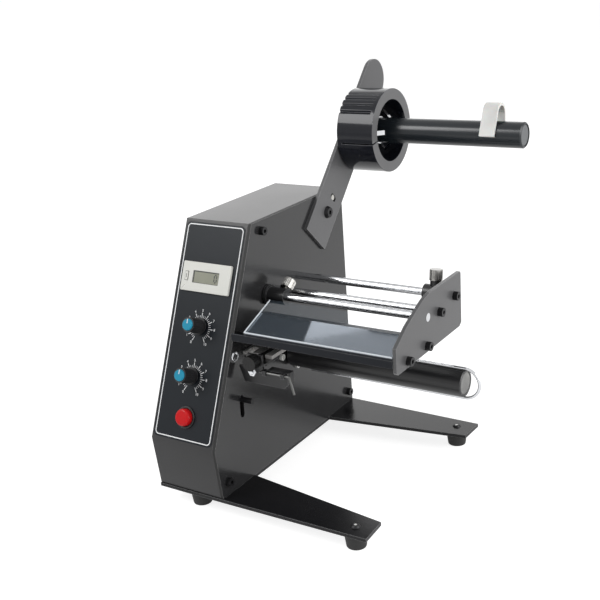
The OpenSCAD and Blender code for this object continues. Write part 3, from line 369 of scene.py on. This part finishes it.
def makeMaterials():
    m = {}
    m["plateCoat"] = platePaint("plateCoat", (0.012, 0.012, 0.013), (0.033, 0.033, 0.034), (0.003, 0.003, 0.003))
    m["charcoal_paint"] = coated("charcoalPaint", (0.015, 0.015, 0.016), (0.025, 0.025, 0.026), 0.29,
                                 edge=0.55, edgeGlintTone=0.42)
    m["baseGloss"] = coated("baseGloss", (0.005, 0.005, 0.006), (0.009, 0.009, 0.010), 0.22, 0.3, edge=0.8,
                            Specular_IOR_Level=0.28)
    m["arm_paint"] = coated("armPaint", (0.075, 0.075, 0.078), (0.105, 0.105, 0.108), 0.34, 0.6, edge=0.8)
    m["end_plate_paint"] = coated("endPlatePaint", (0.060, 0.060, 0.062), (0.078, 0.078, 0.080), 0.34, 0.5, edge=0.8)
    m["bright_steel"] = bright("brightSteel", (0.62, 0.63, 0.65), (0.78, 0.79, 0.81), 0.10)
    m["zinc_steel"] = bright("zincSteel", (0.50, 0.49, 0.46), (0.66, 0.65, 0.62), 0.26, 900.0, 900.0)
    m["inner_steel"] = bright("innerSteel", (0.38, 0.38, 0.40), (0.50, 0.50, 0.52), 0.40)
    m["polished_plate"] = polishedSag("polishedPlate", (0.200, 0.222, 0.252), (0.225, 0.247, 0.278), 0.05, -12)
    m["slate_tube"] = coated("slateTube", (0.010, 0.013, 0.016), (0.016, 0.020, 0.024), 0.22, 0.3, 700.0, 0.1,
                             Specular_IOR_Level=0.42)
    m["capGrey"] = coated("capGrey", (0.085, 0.090, 0.095), (0.12, 0.125, 0.13), 0.42, 0.3)
    m["black_anodised"] = coated("blackAnodised", (0.009, 0.009, 0.010), (0.015, 0.015, 0.016), 0.30,
                                 0.4, 1100.0, 0.12, edge=0.5)
    m["black_screw"] = bright("blackOxide", (0.010, 0.010, 0.011), (0.022, 0.022, 0.024), 0.34, 900.0, 900.0, 0.6)
    m["hub_gloss"] = cutRing("hubGloss", (0.006, 0.007, 0.011), (0.012, 0.013, 0.018), (0.125, 0.125, 0.128))
    m["black_plastic"] = moulded("blackPlastic", (0.008, 0.008, 0.009), (0.014, 0.014, 0.015), 0.36)
    m["white_plastic"] = moulded("whiteNylon", (0.60, 0.60, 0.58), (0.70, 0.70, 0.68), 0.40, 900.0, 0.06,
                                 Subsurface_Weight=0.1, Subsurface_Scale=0.002)
    m["grey_plug"] = moulded("greyPlug", (0.07, 0.07, 0.07), (0.27, 0.27, 0.26), 0.45, 1500.0, 0.5)
    m["dullZinc"] = bright("dullZinc", (0.42, 0.41, 0.40), (0.58, 0.57, 0.55), 0.42, 900.0, 900.0, 0.35)
    m["wireGrey"] = bright("wireGrey", (0.09, 0.09, 0.09), (0.15, 0.15, 0.145), 0.34, 900.0, 900.0, 0.6)
    m["sheetEdge"] = moulded("sheetEdge", (0.62, 0.66, 0.70), (0.74, 0.78, 0.82), 0.35, 900.0, 0.05)
    m["lipBlack"] = coated("lipBlack", (0.006, 0.007, 0.010), (0.010, 0.012, 0.016), 0.36, 0.3, edge=0.3,
                           Specular_IOR_Level=0.18)
    m["knurlBlack"] = moulded("knurlBlack", (0.004, 0.004, 0.004), (0.012, 0.012, 0.012), 0.30, 700.0, 0.9,
                              Specular_IOR_Level=0.3)
    m["knurlZinc"] = bright("knurlZinc", (0.32, 0.315, 0.30), (0.48, 0.47, 0.45), 0.22, 900.0, 900.0)
    # pale, barely metallic zinc that shows brighter than its dim surroundings: painted glint on screw heads
    m["glintZincPale"] = bright("glintZincPale", (0.62, 0.62, 0.60), (0.78, 0.78, 0.76), 0.35, 900.0, 900.0, 0.25)
    # near-black for the display's painted recess shade and for the dark gap round the reset key
    m["shadeAndGapBlack"] = moulded("shadeAndGapBlack", (0.030, 0.032, 0.028), (0.045, 0.047, 0.040), 0.5)
    m["blue_cap"] = moulded("blueCap", (0.010, 0.22, 0.35), (0.02, 0.27, 0.41), 0.40, 900.0, 0.08,
                            Specular_IOR_Level=0.2)
    m["red_button"] = moulded("redButton", (0.44, 0.004, 0.007), (0.56, 0.006, 0.008), 0.34, 900.0, 0.04,
                              Specular_IOR_Level=0.16, Coat_Weight=0.12, Coat_Roughness=0.05)
    m["counter_ivory"] = moulded("counterIvory", (0.60, 0.60, 0.56), (0.67, 0.67, 0.63), 0.42, 1500.0, 0.06)
    m["overlay_film"] = coated("overlayFilm", (0.008, 0.010, 0.013), (0.012, 0.015, 0.019), 0.34, 0.15, 1600.0, 0.08,
                               Specular_IOR_Level=0.2)
    m["circuit_board"] = moulded("circuitBoard", (0.02, 0.16, 0.06), (0.03, 0.22, 0.09), 0.35)
    m["coil"] = coated("coilLaminations", (0.10, 0.10, 0.10), (0.16, 0.15, 0.14), 0.5)
    m["rubber_black"] = moulded("rubberBlack", (0.010, 0.010, 0.010), (0.020, 0.020, 0.020), 0.62, 1000.0, 0.3)
    m["clear_sheet"] = makeClear()
    m["counter_glass"] = makeDisplay()
    return m


def makeClear():
    # thin clear sheet: mostly see-through, with its own gloss
    mat, tree, shader, coords = newMaterial("clearSheet", Roughness=0.04, IOR=1.45, Alpha=0.035)
    g = useGroup(tree, speckle, coords, Scale=500.0)
    tree.links.new(mixColour(tree, g["Patches"], (0.30, 0.40, 0.50), (0.38, 0.48, 0.58)), shader.inputs["Base Color"])
    tree.links.new(spread(tree, g["Patches"], 0.03, 0.07), shader.inputs["Roughness"])
    return mat


def makeDisplay():
    # liquid crystal: grey-green
    mat, tree, shader, coords = newMaterial("displayGlass", Roughness=0.18, Coat_Weight=0.6, Coat_Roughness=0.05)
    g = useGroup(tree, speckle, coords, Scale=2400.0, Patch=90.0)
    body = mixColour(tree, g["Patches"], (0.215, 0.22, 0.165), (0.27, 0.275, 0.215))
    tree.links.new(body, shader.inputs["Base Color"])
    addBump(tree, shader, g["Specks"], 0.03, 0.0001)
    return mat


finish = makeMaterials()
finish["printWhite"] = moulded("printWhite", (0.74, 0.75, 0.76), (0.84, 0.85, 0.86), 0.5, 1500.0, 0.05)
finish["segmentDark"] = moulded("segmentDark", (0.012, 0.014, 0.012), (0.022, 0.024, 0.020), 0.4)
slotOf = {s["node"]: s["material_slot"] for s in frame["record"]["subparts"]}
ownFinish = {  # nodes whose finish differs from their slot's
    "feeler_rail": "dullZinc", "label_feeler": "wireGrey", "base_plate": "baseGloss", "side_plate": "plateCoat",
    "shaft_cap": "capGrey", "adjust_knob": "knurlBlack", "motor_screws": "glintZincPale",
    "left_thumb_screw": "knurlZinc", "right_thumb_screw": "knurlZinc"}


def finishOf(node):
    return finish[ownFinish.get(node, slotOf[node])]


for name, obj in nodes.items():
    obj.data.materials.clear()
    obj.data.materials.append(finishOf(name))
print("materials:", len(finish))


def addPiece(name, mesh, material, body, smooth=None):
    obj = bpy.data.objects.new(name, mesh)
    bpy.context.scene.collection.objects.link(obj)
    mesh.materials.clear()
    mesh.materials.append(finish[material])
    if smooth is not None:
        shadeByAngle(mesh, smooth)
    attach(obj, body)
    return obj


def shadeByAngle(mesh, angle):
    mesh.polygons.foreach_set("use_smooth", [True] * len(mesh.polygons))
    mesh.set_sharp_from_angle(angle=radians(angle))


def meshFrom(name, bm):
    mesh = bpy.data.meshes.new(name)
    bmesh.ops.recalc_face_normals(bm, faces=bm.faces)
    bm.to_mesh(mesh)
    bm.free()
    return mesh


def bodyOf(node):
    return next(b for b, members in frame["record"]["behaviour"]["bodies"].items() if node in members)


softened = {  # nodes whose sharp corners get a small radius, in millimetres
    "housing_shell": 1.2, "side_plate": 0.5, "end_plate": 0.5, "unwind_arm": 0.5, "base_plate": 0.5,
    "counter_case": 0.35, "hub_ring": 0.5, "peel_support": 0.5, "shaft_cap": 0.8, "roll_clip": 0.3,
    "peel_plate": 0.3, "left_collar": 0.4, "right_collar": 0.4, "feeler_carriage": 0.3, "feeler_rail": 0.3,
    "micro_switch": 0.4, "power_switch_body": 0.4, "power_inlet": 0.5, "fuse_holder": 0.5, "roller_end_plug": 0.6,
    "rubber_feet": 0.7, "arm_screw": 0.3, "counter_reset_key": 0.2, "length_knob_cap": 0.3, "speed_knob_cap": 0.3,
    "housing_screws": 0.25, "end_plate_screws": 0.25, "foot_screws": 0.25, "axle_nut": 0.3}


def soften(node, radius):
    # a copy of the node with its sharp edges rounded, which stands for it
    bm = bmesh.new()
    bm.from_mesh(nodes[node].data)
    bmesh.ops.remove_doubles(bm, verts=bm.verts, dist=2e-6)
    bmesh.ops.dissolve_limit(bm, angle_limit=radians(0.6), verts=bm.verts, edges=bm.edges)
    mesh = bpy.data.meshes.new(node)
    bm.to_mesh(mesh)
    bm.free()
    mesh.polygons.foreach_set("use_smooth", [True] * len(mesh.polygons))
    obj = bpy.data.objects.new(node + "_edges", mesh)
    bpy.context.scene.collection.objects.link(obj)
    bevel = obj.modifiers.new("edges", "BEVEL")
    bevel.width = radius * mm
    bevel.segments = 2
    bevel.limit_method = "ANGLE"
    bevel.angle_limit = radians(32)
    bevel.use_clamp_overlap = True
    even = obj.modifiers.new("evenNormals", "WEIGHTED_NORMAL")
    even.keep_sharp = True
    done = bpy.data.meshes.new_from_object(obj.evaluated_get(bpy.context.evaluated_depsgraph_get()))
    obj.modifiers.clear()
    obj.data = done
    done.materials.clear()
    done.materials.append(finishOf(node))
    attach(obj, bodyOf(node))
    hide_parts(node)
    return obj


for node, radius in softened.items():
    soften(node, radius)
for name, obj in nodes.items():
    if name not in softened:
        shadeByAngle(obj.data, 32)
print("edges softened:", len(softened))


filmLow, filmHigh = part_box("panel_overlay")
panelLean = radians(24)  # how far the panel leans back from upright
panelUp = Vector((0, sin(panelLean), cos(panelLean)))
panelOut = Vector((0, -cos(panelLean), sin(panelLean)))
panelAcross = Vector((1, 0, 0))
filmMiddle = (filmLow + filmHigh) / 2
filmHalf = 0.15          # half the film's thickness, in millimetres


def onPanel(x, t, lift=0.0):
    # x across and t up from the film's middle, in millimetres, lift off the film's face
    return filmMiddle + panelAcross * x * mm + panelUp * t * mm + panelOut * (filmHalf + lift) * mm


def panelSpot(node):
    # a node's place on the film, (x, t) in millimetres from the film's middle
    low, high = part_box(node)
    mid = (low + high) / 2 - filmMiddle
    return mid.dot(panelAcross) / mm, mid.dot(panelUp) / mm


def panelLift(node, halfDeep):
    # how far a node's face stands off the film, for half its depth in millimetres
    low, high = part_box(node)
    return ((low + high) / 2 - filmMiddle).dot(panelOut) / mm - filmHalf + halfDeep


border = {"inset": 1.5, "line": 0.85, "corner": 3.4, "lift": 0.03}


def roundedLoop(w, h, r, steps=8):
    pts = []
    for cx, cy, start in ((w / 2 - r, h / 2 - r, 0), (-w / 2 + r, h / 2 - r, 90),
                          (-w / 2 + r, -h / 2 + r, 180), (w / 2 - r, -h / 2 + r, 270)):
        for i in range(steps + 1):
            a = radians(start + 90 * i / steps)
            pts.append((cx + r * cos(a), cy + r * sin(a)))
    return pts


def addBorder():
    w = (filmHigh.x - filmLow.x) / mm - 2 * border["inset"]
    h = (filmHigh - filmLow).dot(panelUp) / mm - 2 * border["inset"]
    outer = roundedLoop(w, h, border["corner"])
    inner = roundedLoop(w - 2 * border["line"], h - 2 * border["line"], border["corner"] - border["line"])
    bm = bmesh.new()
    a = [bm.verts.new(onPanel(x, y, border["lift"])) for x, y in outer]
    b = [bm.verts.new(onPanel(x, y, border["lift"])) for x, y in inner]
    for i in range(len(a)):
        j = (i + 1) % len(a)
        bm.faces.new((a[i], a[j], b[j], b[i]))
    addPiece("panelBorder", meshFrom("panelBorder", bm), "printWhite", "frame")


addBorder()

dial = {"inner": 8.2, "long": 4.2, "short": 2.1, "wide": 0.55, "thin": 0.35, "first": -150, "last": 150,
        "marks": 11, "between": 3, "figure": 14.2, "figureSize": 3.0}


def makeTickTree():
    # ticks round a dial: a quad for each mark, turned about the dial's centre
    tree = bpy.data.node_groups.new("dialTicks", "GeometryNodeTree")
    tree.interface.new_socket("Geometry", in_out="INPUT", socket_type="NodeSocketGeometry")
    named = {"Count": ("NodeSocketInt", 11), "Inner Radius": ("NodeSocketFloat", 0.009),
             "Length": ("NodeSocketFloat", 0.003), "Width": ("NodeSocketFloat", 0.0005),
             "First Angle": ("NodeSocketFloat", 0.0), "Last Angle": ("NodeSocketFloat", 1.0)}
    for label, (kind, value) in named.items():
        tree.interface.new_socket(label, in_out="INPUT", socket_type=kind).default_value = value
    tree.interface.new_socket("Material", in_out="INPUT", socket_type="NodeSocketMaterial")
    tree.interface.new_socket("Geometry", in_out="OUTPUT", socket_type="NodeSocketGeometry")
    new, link = tree.nodes.new, tree.links.new
    src, out = new("NodeGroupInput"), new("NodeGroupOutput")
    line = new("GeometryNodeMeshLine")
    line.mode = "OFFSET"
    line.inputs["Offset"].default_value = (0, 0, 0)
    link(src.outputs["Count"], line.inputs["Count"])
    index = new("GeometryNodeInputIndex")
    last = new("ShaderNodeMath")
    last.operation = "SUBTRACT"
    link(src.outputs["Count"], last.inputs[0])
    last.inputs[1].default_value = 1
    angle = new("ShaderNodeMapRange")
    link(index.outputs[0], angle.inputs["Value"])
    link(last.outputs[0], angle.inputs["From Max"])
    link(src.outputs["First Angle"], angle.inputs["To Min"])
    link(src.outputs["Last Angle"], angle.inputs["To Max"])
    turn = new("ShaderNodeCombineXYZ")
    link(angle.outputs["Result"], turn.inputs["Z"])
    quad = new("GeometryNodeMeshGrid")
    quad.inputs["Vertices X"].default_value = 2
    quad.inputs["Vertices Y"].default_value = 2
    link(src.outputs["Width"], quad.inputs["Size X"])
    link(src.outputs["Length"], quad.inputs["Size Y"])
    half = new("ShaderNodeMath")
    half.operation = "MULTIPLY_ADD"
    link(src.outputs["Length"], half.inputs[0])
    half.inputs[1].default_value = 0.5
    link(src.outputs["Inner Radius"], half.inputs[2])
    offset = new("ShaderNodeCombineXYZ")
    link(half.outputs[0], offset.inputs["Y"])
    moved = new("GeometryNodeTransform")
    link(quad.outputs["Mesh"], moved.inputs["Geometry"])
    link(offset.outputs["Vector"], moved.inputs["Translation"])
    inst = new("GeometryNodeInstanceOnPoints")
    link(line.outputs["Mesh"], inst.inputs["Points"])
    link(moved.outputs["Geometry"], inst.inputs["Instance"])
    link(turn.outputs["Vector"], inst.inputs["Rotation"])
    real = new("GeometryNodeRealizeInstances")
    link(inst.outputs["Instances"], real.inputs["Geometry"])
    mat = new("GeometryNodeSetMaterial")
    link(real.outputs["Geometry"], mat.inputs["Geometry"])
    link(src.outputs["Material"], mat.inputs["Material"])
    link(mat.outputs["Geometry"], out.inputs["Geometry"])
    return tree


def grow(tree, name, values):
    # runs a geometry tree and returns its result as a plain mesh
    obj = bpy.data.objects.new(name, bpy.data.meshes.new(name))
    bpy.context.scene.collection.objects.link(obj)
    mod = obj.modifiers.new("grow", "NODES")
    mod.node_group = tree
    for item in tree.interface.items_tree:
        if item.item_type == "SOCKET" and item.in_out == "INPUT" and item.name in values:
            mod[item.identifier] = values[item.name]
    mesh = bpy.data.meshes.new_from_object(obj.evaluated_get(bpy.context.evaluated_depsgraph_get()))
    obj.modifiers.remove(mod)
    bpy.data.objects.remove(obj)
    return mesh


tickTree = makeTickTree()


def panelMatrix(x, t, lift):
    turn = Matrix((panelAcross, panelUp, panelOut)).transposed().to_4x4()
    return Matrix.Translation(onPanel(x, t, lift)) @ turn


def textMesh(words, size):
    # generic figures only
    curve = bpy.data.curves.new("figure", "FONT")
    curve.body = words
    curve.size = size
    curve.align_x, curve.align_y = "CENTER", "CENTER"
    obj = bpy.data.objects.new("figure", curve)
    bpy.context.scene.collection.objects.link(obj)
    mesh = bpy.data.meshes.new_from_object(obj.evaluated_get(bpy.context.evaluated_depsgraph_get()))
    bpy.data.objects.remove(obj)
    return mesh


def addDial(name, knob):
    x, t = panelSpot(knob)
    bm = bmesh.new()
    for count, length, width in ((dial["marks"], dial["long"], dial["wide"]),
                                 ((dial["marks"] - 1) * dial["between"] + 1, dial["short"], dial["thin"])):
        mesh = grow(tickTree, name, {
            "Count": count, "Inner Radius": dial["inner"] * mm, "Length": length * mm, "Width": width * mm,
            "First Angle": radians(dial["first"]), "Last Angle": radians(dial["last"]),
            "Material": finish["printWhite"]})
        bm.from_mesh(mesh)
    for i in range(dial["marks"]):
        a = radians(dial["first"] + (dial["last"] - dial["first"]) * i / (dial["marks"] - 1))
        figure = textMesh(str(dial["marks"] - 1 - i), dial["figureSize"] * mm)
        figure.transform(Matrix.Translation((-sin(a) * dial["figure"] * mm, cos(a) * dial["figure"] * mm, 0)))
        bm.from_mesh(figure)
    bm.transform(panelMatrix(x, t, 0.05))
    mesh = bpy.data.meshes.new(name)
    bm.to_mesh(mesh)
    bm.free()
    addPiece(name, mesh, "printWhite", "frame")


addDial("lengthDialMarks", "length_pot")
addDial("speedDialMarks", "speed_pot")
print("panel printed")


def addShape(name, points, low, high, material, body):
    # a flat outline in (y, z), swept from low to high along X, in millimetres
    bm = bmesh.new()
    rings = [[bm.verts.new(place(x, y, z)) for y, z in points] for x in (low, high)]
    bm.faces.new(rings[0])
    bm.faces.new(list(reversed(rings[1])))
    for k in range(len(points)):
        n = (k + 1) % len(points)
        bm.faces.new((rings[0][k], rings[1][k], rings[1][n], rings[0][n]))
    return addPiece(name, meshFrom(name, bm), material, body)


def lathe(bm, matrix, profile, steps=40, sides=None):
    # spins (radius, height) points about the matrix's Z axis; sides makes it a polygon
    count = sides or steps
    rings = []
    for r, h in profile:
        if r == 0:
            rings.append([bm.verts.new(matrix @ Vector((0, 0, h * mm)))])
        else:
            turns = [2 * pi * k / count for k in range(count)]
            rings.append([bm.verts.new(matrix @ Vector((r * mm * cos(a), r * mm * sin(a), h * mm))) for a in turns])
    for a, b in zip(rings, rings[1:]):
        for k in range(count):
            n = (k + 1) % count
            if len(a) == 1:
                bm.faces.new((a[0], b[k], b[n]))
            elif len(b) == 1:
                bm.faces.new((a[k], a[n], b[0]))
            else:
                bm.faces.new((a[k], a[n], b[n], b[k]))


def facing(spot, direction):
    # a matrix at spot whose Z axis points along direction
    return Matrix.Translation(spot) @ Vector(direction).to_track_quat("Z", "Y").to_matrix().to_4x4()


eyelet = {"y": 33.0, "z": 128.5, "outer": 4.2, "hole": 2.1, "stand": 0.7}


def addEyelet():
    at = facing(place(0, eyelet["y"], eyelet["z"]), (1, 0, 0))
    r, h, t = eyelet["outer"], eyelet["hole"], eyelet["stand"]
    bm = bmesh.new()
    lathe(bm, at, [(r, 0), (r, 0.25), (r - 0.35, t), (h + 0.5, t), (h, t - 0.35), (h, 0.05), (r - 1, 0)])
    addPiece("cordEyelet", meshFrom("cordEyelet", bm), "bright_steel", "frame", 40)
    # black disc in the eyelet's hole: painted shade of the hole
    bm = bmesh.new()
    lathe(bm, at, [(h + 0.1, 0.02), (h - 0.2, 0.12), (0, 0.12)])
    addPiece("eyeletHoleShade", meshFrom("eyeletHoleShade", bm), "black_plastic", "frame", 40)


nut = {"x": 16.9, "y": 34.0, "z": 118.3, "flats": 7.0, "thick": 3.0, "bolt": 3.6, "proud": 1.2}
rivet = {"x": 9.6, "z": 119.4, "r": 1.3, "proud": 0.8}


def addFlangeNut():
    # plated nut and bolt end on the front of the feeler's flange, and a small rivet beside it
    flangeY = place(0, nut["y"], 0).y
    r = nut["flats"] / 2 / cos(pi / 6)
    bm = bmesh.new()
    spot = place(nut["x"], 0, nut["z"])
    spot.y = flangeY
    at = facing(spot, (0, -1, 0))
    bolt, thick, end = nut["bolt"] / 2, nut["thick"], nut["thick"] + nut["proud"]
    lathe(bm, at, [(0, 0.0), (r, 0.0), (r, thick - 0.5), (r - 0.55, thick), (bolt, thick)], sides=6)
    lathe(bm, at, [(bolt, thick - 0.5), (bolt, end - 0.3), (bolt - 0.35, end), (0, end)], 24)
    spot = place(rivet["x"], 0, rivet["z"])
    spot.y = flangeY
    lathe(bm, facing(spot, (0, -1, 0)), [(rivet["r"], 0), (rivet["r"], 0.2), (rivet["r"] * 0.7, rivet["proud"] * 0.8),
                                         (0, rivet["proud"])], 20)
    addPiece("flangeNut", meshFrom("flangeNut", bm), "bright_steel", "carriage", 30)


footDot = {"x": 114.5, "y": (13.5, 197.5), "r": 1.5, "deep": 2.2, "below": 0.08}


def addFootDots():
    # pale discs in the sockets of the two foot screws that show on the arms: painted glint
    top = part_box("foot_screws")[1].z
    bm = bmesh.new()
    for y in footDot["y"]:
        spot = place(footDot["x"], y, 0)
        spot.z = top - footDot["deep"] * mm
        r, h = footDot["r"], footDot["deep"] - footDot["below"]
        lathe(bm, facing(spot, (0, 0, 1)), [(0, 0), (r, 0), (r, h - 0.2), (r - 0.3, h), (0, h)], 24)
    addPiece("footDots", meshFrom("footDots", bm), "glintZincPale", "frame", 30)


addEyelet()
addFlangeNut()
addFootDots()

peel = {"y": 31.0, "z": 151.0, "slope": 20.7, "lip": 8.5, "left": 14.0, "right": 142.0, "sheet": 40.0, "sheetT": 1.0}


def slopePoint(s, h):
    a = radians(peel["slope"])
    return peel["y"] + s * cos(a) - h * sin(a), peel["z"] + s * sin(a) + h * cos(a)


def addPeelTrim():
    # black paint on the plate's front lip, and the pale cut edges of the clear sheet
    y, z = peel["y"], peel["z"]
    front = [(y - 0.12, z - peel["lip"] - 0.0), (y + 0.3, z - peel["lip"]), (y + 0.3, z - 2.6), (y - 0.12, z - 2.6)]
    addShape("lipPaintLow", front, 0.05, peel["right"] - 0.05, "lipBlack", "frame")
    nose = [(y - 0.12, z - 2.6), (y + 0.3, z - 2.6), (y + 0.3, z - 0.7), (y - 0.12, z - 0.7)]
    addShape("lipPaintHigh", nose, peel["left"] + 0.05, peel["right"] - 0.05, "lipBlack", "frame")
    t = peel["sheetT"]
    side = [slopePoint(-0.42, 0.05), slopePoint(peel["sheet"] + 0.02, 0.05),
            slopePoint(peel["sheet"] + 0.02, t + 0.03), slopePoint(-0.42, t + 0.03)]
    addShape("sheetLeftEdge", side, peel["left"] - 1.03, peel["left"] - 0.45, "sheetEdge", "frame")
    end = [slopePoint(-0.44, 0.05), slopePoint(0.15, 0.05), slopePoint(0.15, t + 0.03), slopePoint(-0.44, t + 0.03)]
    addShape("sheetFrontEdge", end, peel["left"] - 0.45, peel["right"] - 0.3, "sheetEdge", "frame")


addPeelTrim()


def panelQuad(bm, x0, x1, t0, t1, lift, origin):
    # a thin raised rectangle on the sloping face, from an origin (x, t) on it
    pts = [(x0, t0), (x1, t0), (x1, t1), (x0, t1)]
    for up in (lift, lift - 0.12):
        ring = [bm.verts.new(onPanel(origin[0] + x, origin[1] + t, up)) for x, t in pts]
        bm.faces.new(ring if up == lift else list(reversed(ring)))
        if up == lift:
            top = ring
    for k in range(4):
        n = (k + 1) % 4
        bm.faces.new((top[k], ring[k], ring[n], top[n]))


display = {"high": 10.0, "halfDeep": 0.5, "digitW": 3.4, "digitH": 7.0, "stroke": 1.05, "fromRight": 3.4,
           "shadeLeft": 1.3, "shadeTop": 0.9, "shadeThin": 0.35}


def addDisplay():
    # one plain figure, and dark strips round the display, widest at its left and top: painted shade of its recess
    low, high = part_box("counter_window")
    mid = panelSpot("counter_window")
    lift = panelLift("counter_window", display["halfDeep"])
    w, h = (high.x - low.x) / mm, display["high"]
    bm = bmesh.new()
    cx = w / 2 - display["fromRight"]
    a, b, k = display["digitW"] / 2, display["digitH"] / 2, display["stroke"]
    for x0, x1, t0, t1 in ((cx - a + k, cx + a - k, b - k, b), (cx - a + k, cx + a - k, -b, -b + k),
                           (cx - a, cx - a + k, 0.25, b - k), (cx - a, cx - a + k, -b + k, -0.25),
                           (cx + a - k, cx + a, 0.25, b - k), (cx + a - k, cx + a, -b + k, -0.25)):
        panelQuad(bm, x0, x1, t0, t1, lift + 0.04, mid)
    addPiece("displayFigure", meshFrom("displayFigure", bm), "segmentDark", "frame")
    # dark strips inside the window: painted shade of the recess
    bm = bmesh.new()
    left, top, thin = display["shadeLeft"], display["shadeTop"], display["shadeThin"]
    for x0, x1, t0, t1 in ((-w / 2, -w / 2 + left, -h / 2, h / 2), (-w / 2 + left, w / 2, h / 2 - top, h / 2),
                           (w / 2 - thin, w / 2, -h / 2, h / 2 - top),
                           (-w / 2 + left, w / 2 - thin, -h / 2, -h / 2 + thin)):
        panelQuad(bm, x0, x1, t0, t1, lift + 0.06, mid)
    addPiece("displayRecessShade", meshFrom("displayRecessShade", bm), "shadeAndGapBlack", "frame")


addDisplay()

keyMark = {"gap": 0.45, "line": 0.3, "bar": 0.7, "trim": 1.4, "halfDeep": 0.8, "proud": 0.6}


def addKeyMark():
    # the dark gap round the reset key and a grey bar on it
    low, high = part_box("counter_reset_key")
    mid = panelSpot("counter_reset_key")
    w = (high.x - low.x) / mm
    h = (high - low).dot(panelUp) / mm - keyMark["trim"]
    top = panelLift("counter_reset_key", keyMark["halfDeep"])
    caseTop = top - keyMark["proud"]
    g, k = keyMark["gap"], keyMark["line"]
    bm = bmesh.new()
    for x0, x1, t0, t1 in ((-w / 2 - g, -w / 2 - g + k, -h / 2 - g, h / 2 + g),
                           (w / 2 + g - k, w / 2 + g, -h / 2 - g, h / 2 + g),
                           (-w / 2 - g + k, w / 2 + g - k, h / 2 + g - k, h / 2 + g),
                           (-w / 2 - g + k, w / 2 + g - k, -h / 2 - g, -h / 2 - g + k)):
        panelQuad(bm, x0, x1, t0, t1, caseTop + 0.05, mid)
    addPiece("keyGap", meshFrom("keyGap", bm), "shadeAndGapBlack", "frame")
    bm = bmesh.new()
    panelQuad(bm, -keyMark["bar"] / 2, keyMark["bar"] / 2, -h / 4, h / 4, top + 0.04, mid)
    addPiece("keyBar", meshFrom("keyBar", bm), "grey_plug", "reset_key")


addKeyMark()

pointer = {"from": 1.1, "to": 4.7, "wide": 0.7, "below": 0.12, "halfDeep": 1.2}


def addPointer(name, cap, body):
    # white line that fills the groove in a knob's cap
    lift = panelLift(cap, pointer["halfDeep"]) - pointer["below"]
    half = pointer["wide"] / 2
    bm = bmesh.new()
    panelQuad(bm, -half, half, pointer["from"], pointer["to"], lift, panelSpot(cap))
    addPiece(name, meshFrom(name, bm), "printWhite", body)


addPointer("lengthPointer", "length_knob_cap", "length_dial")
addPointer("speedPointer", "speed_knob_cap", "speed_dial")
print("small pieces added")


light = {"world": 0.42, "seen": 1.0, "mirrored": 0.78, "floorMirror": 0.25, "floorGlow": 1.64,
         "floorSeen": 0.5, "floorReach": 14.0, "aim": (30, 100, 150)}
lamps = {  # place in millimetres, size in metres, power in watts
    "keySoftbox": ((-860, -880, 1270), (0.8, 0.8), 16.0),
    "sideSoftbox": ((1500, 300, 700), (1.2, 1.2), 20.0),
    "backSoftbox": ((-1000, 1600, 860), (1.7, 1.1), 5.0)}


def areaLight(name, spot, aim, size, power):
    lamp = bpy.data.lights.new(name, "AREA")
    lamp.shape = "RECTANGLE"
    lamp.size, lamp.size_y = size
    lamp.energy = power
    obj = bpy.data.objects.new(name, lamp)
    bpy.context.scene.collection.objects.link(obj)
    obj.location = spot
    obj.visible_camera = False
    obj.rotation_mode = "QUATERNION"
    obj.rotation_quaternion = (Vector(aim) - Vector(spot)).to_track_quat("-Z", "Y")


def addStage():
    floor = bpy.data.meshes.new("floor")
    r = light["floorReach"]
    floor.from_pydata([(-r, -r, 0), (r, -r, 0), (r, r, 0), (-r, r, 0)], [], [(0, 1, 2, 3)])
    obj = bpy.data.objects.new("floor", floor)
    bpy.context.scene.collection.objects.link(obj)
    mat = bpy.data.materials.new("floorPale")
    mat.use_nodes = True
    tree = mat.node_tree
    shader = tree.nodes["Principled BSDF"]
    shader.inputs["Base Color"].default_value = (0.88, 0.88, 0.88, 1)
    shader.inputs["Roughness"].default_value = 0.9
    shader.inputs["Specular IOR Level"].default_value = 0.1
    glow = tree.nodes.new("ShaderNodeEmission")
    glow.inputs["Strength"].default_value = light["floorGlow"]
    path = tree.nodes.new("ShaderNodeLightPath")
    some = mathNode(tree, "MULTIPLY", path.outputs["Is Camera Ray"], light["floorSeen"])
    some = mathNode(tree, "MULTIPLY_ADD", path.outputs["Is Glossy Ray"], light["floorMirror"], some)
    mix = tree.nodes.new("ShaderNodeMixShader")
    tree.links.new(some, mix.inputs["Fac"])
    tree.links.new(shader.outputs["BSDF"], mix.inputs[1])
    tree.links.new(glow.outputs["Emission"], mix.inputs[2])
    tree.links.new(mix.outputs["Shader"], tree.nodes["Material Output"].inputs["Surface"])
    floor.materials.append(mat)
    world = bpy.data.worlds.new("paleRoom")
    bpy.context.scene.world = world
    world.use_nodes = True
    tree = world.node_tree
    back = tree.nodes["Background"]
    back.inputs["Color"].default_value = (1, 1, 1, 1)
    path = tree.nodes.new("ShaderNodeLightPath")
    mirrored = mathNode(tree, "MULTIPLY", path.outputs["Is Glossy Ray"], light["mirrored"])
    seen = mathNode(tree, "MAXIMUM", path.outputs["Is Camera Ray"], mirrored)
    seen = mathNode(tree, "MAXIMUM", seen, path.outputs["Is Transmission Ray"])
    tree.links.new(spread(tree, seen, light["world"], light["seen"]), back.inputs["Strength"])


def addLights():
    for name, (spot, size, power) in lamps.items():
        areaLight(name, place(*spot), place(*light["aim"]), size, power)


addStage()
addLights()
scene = bpy.context.scene
scene.view_settings.view_transform = "Standard"
print("stage lit")
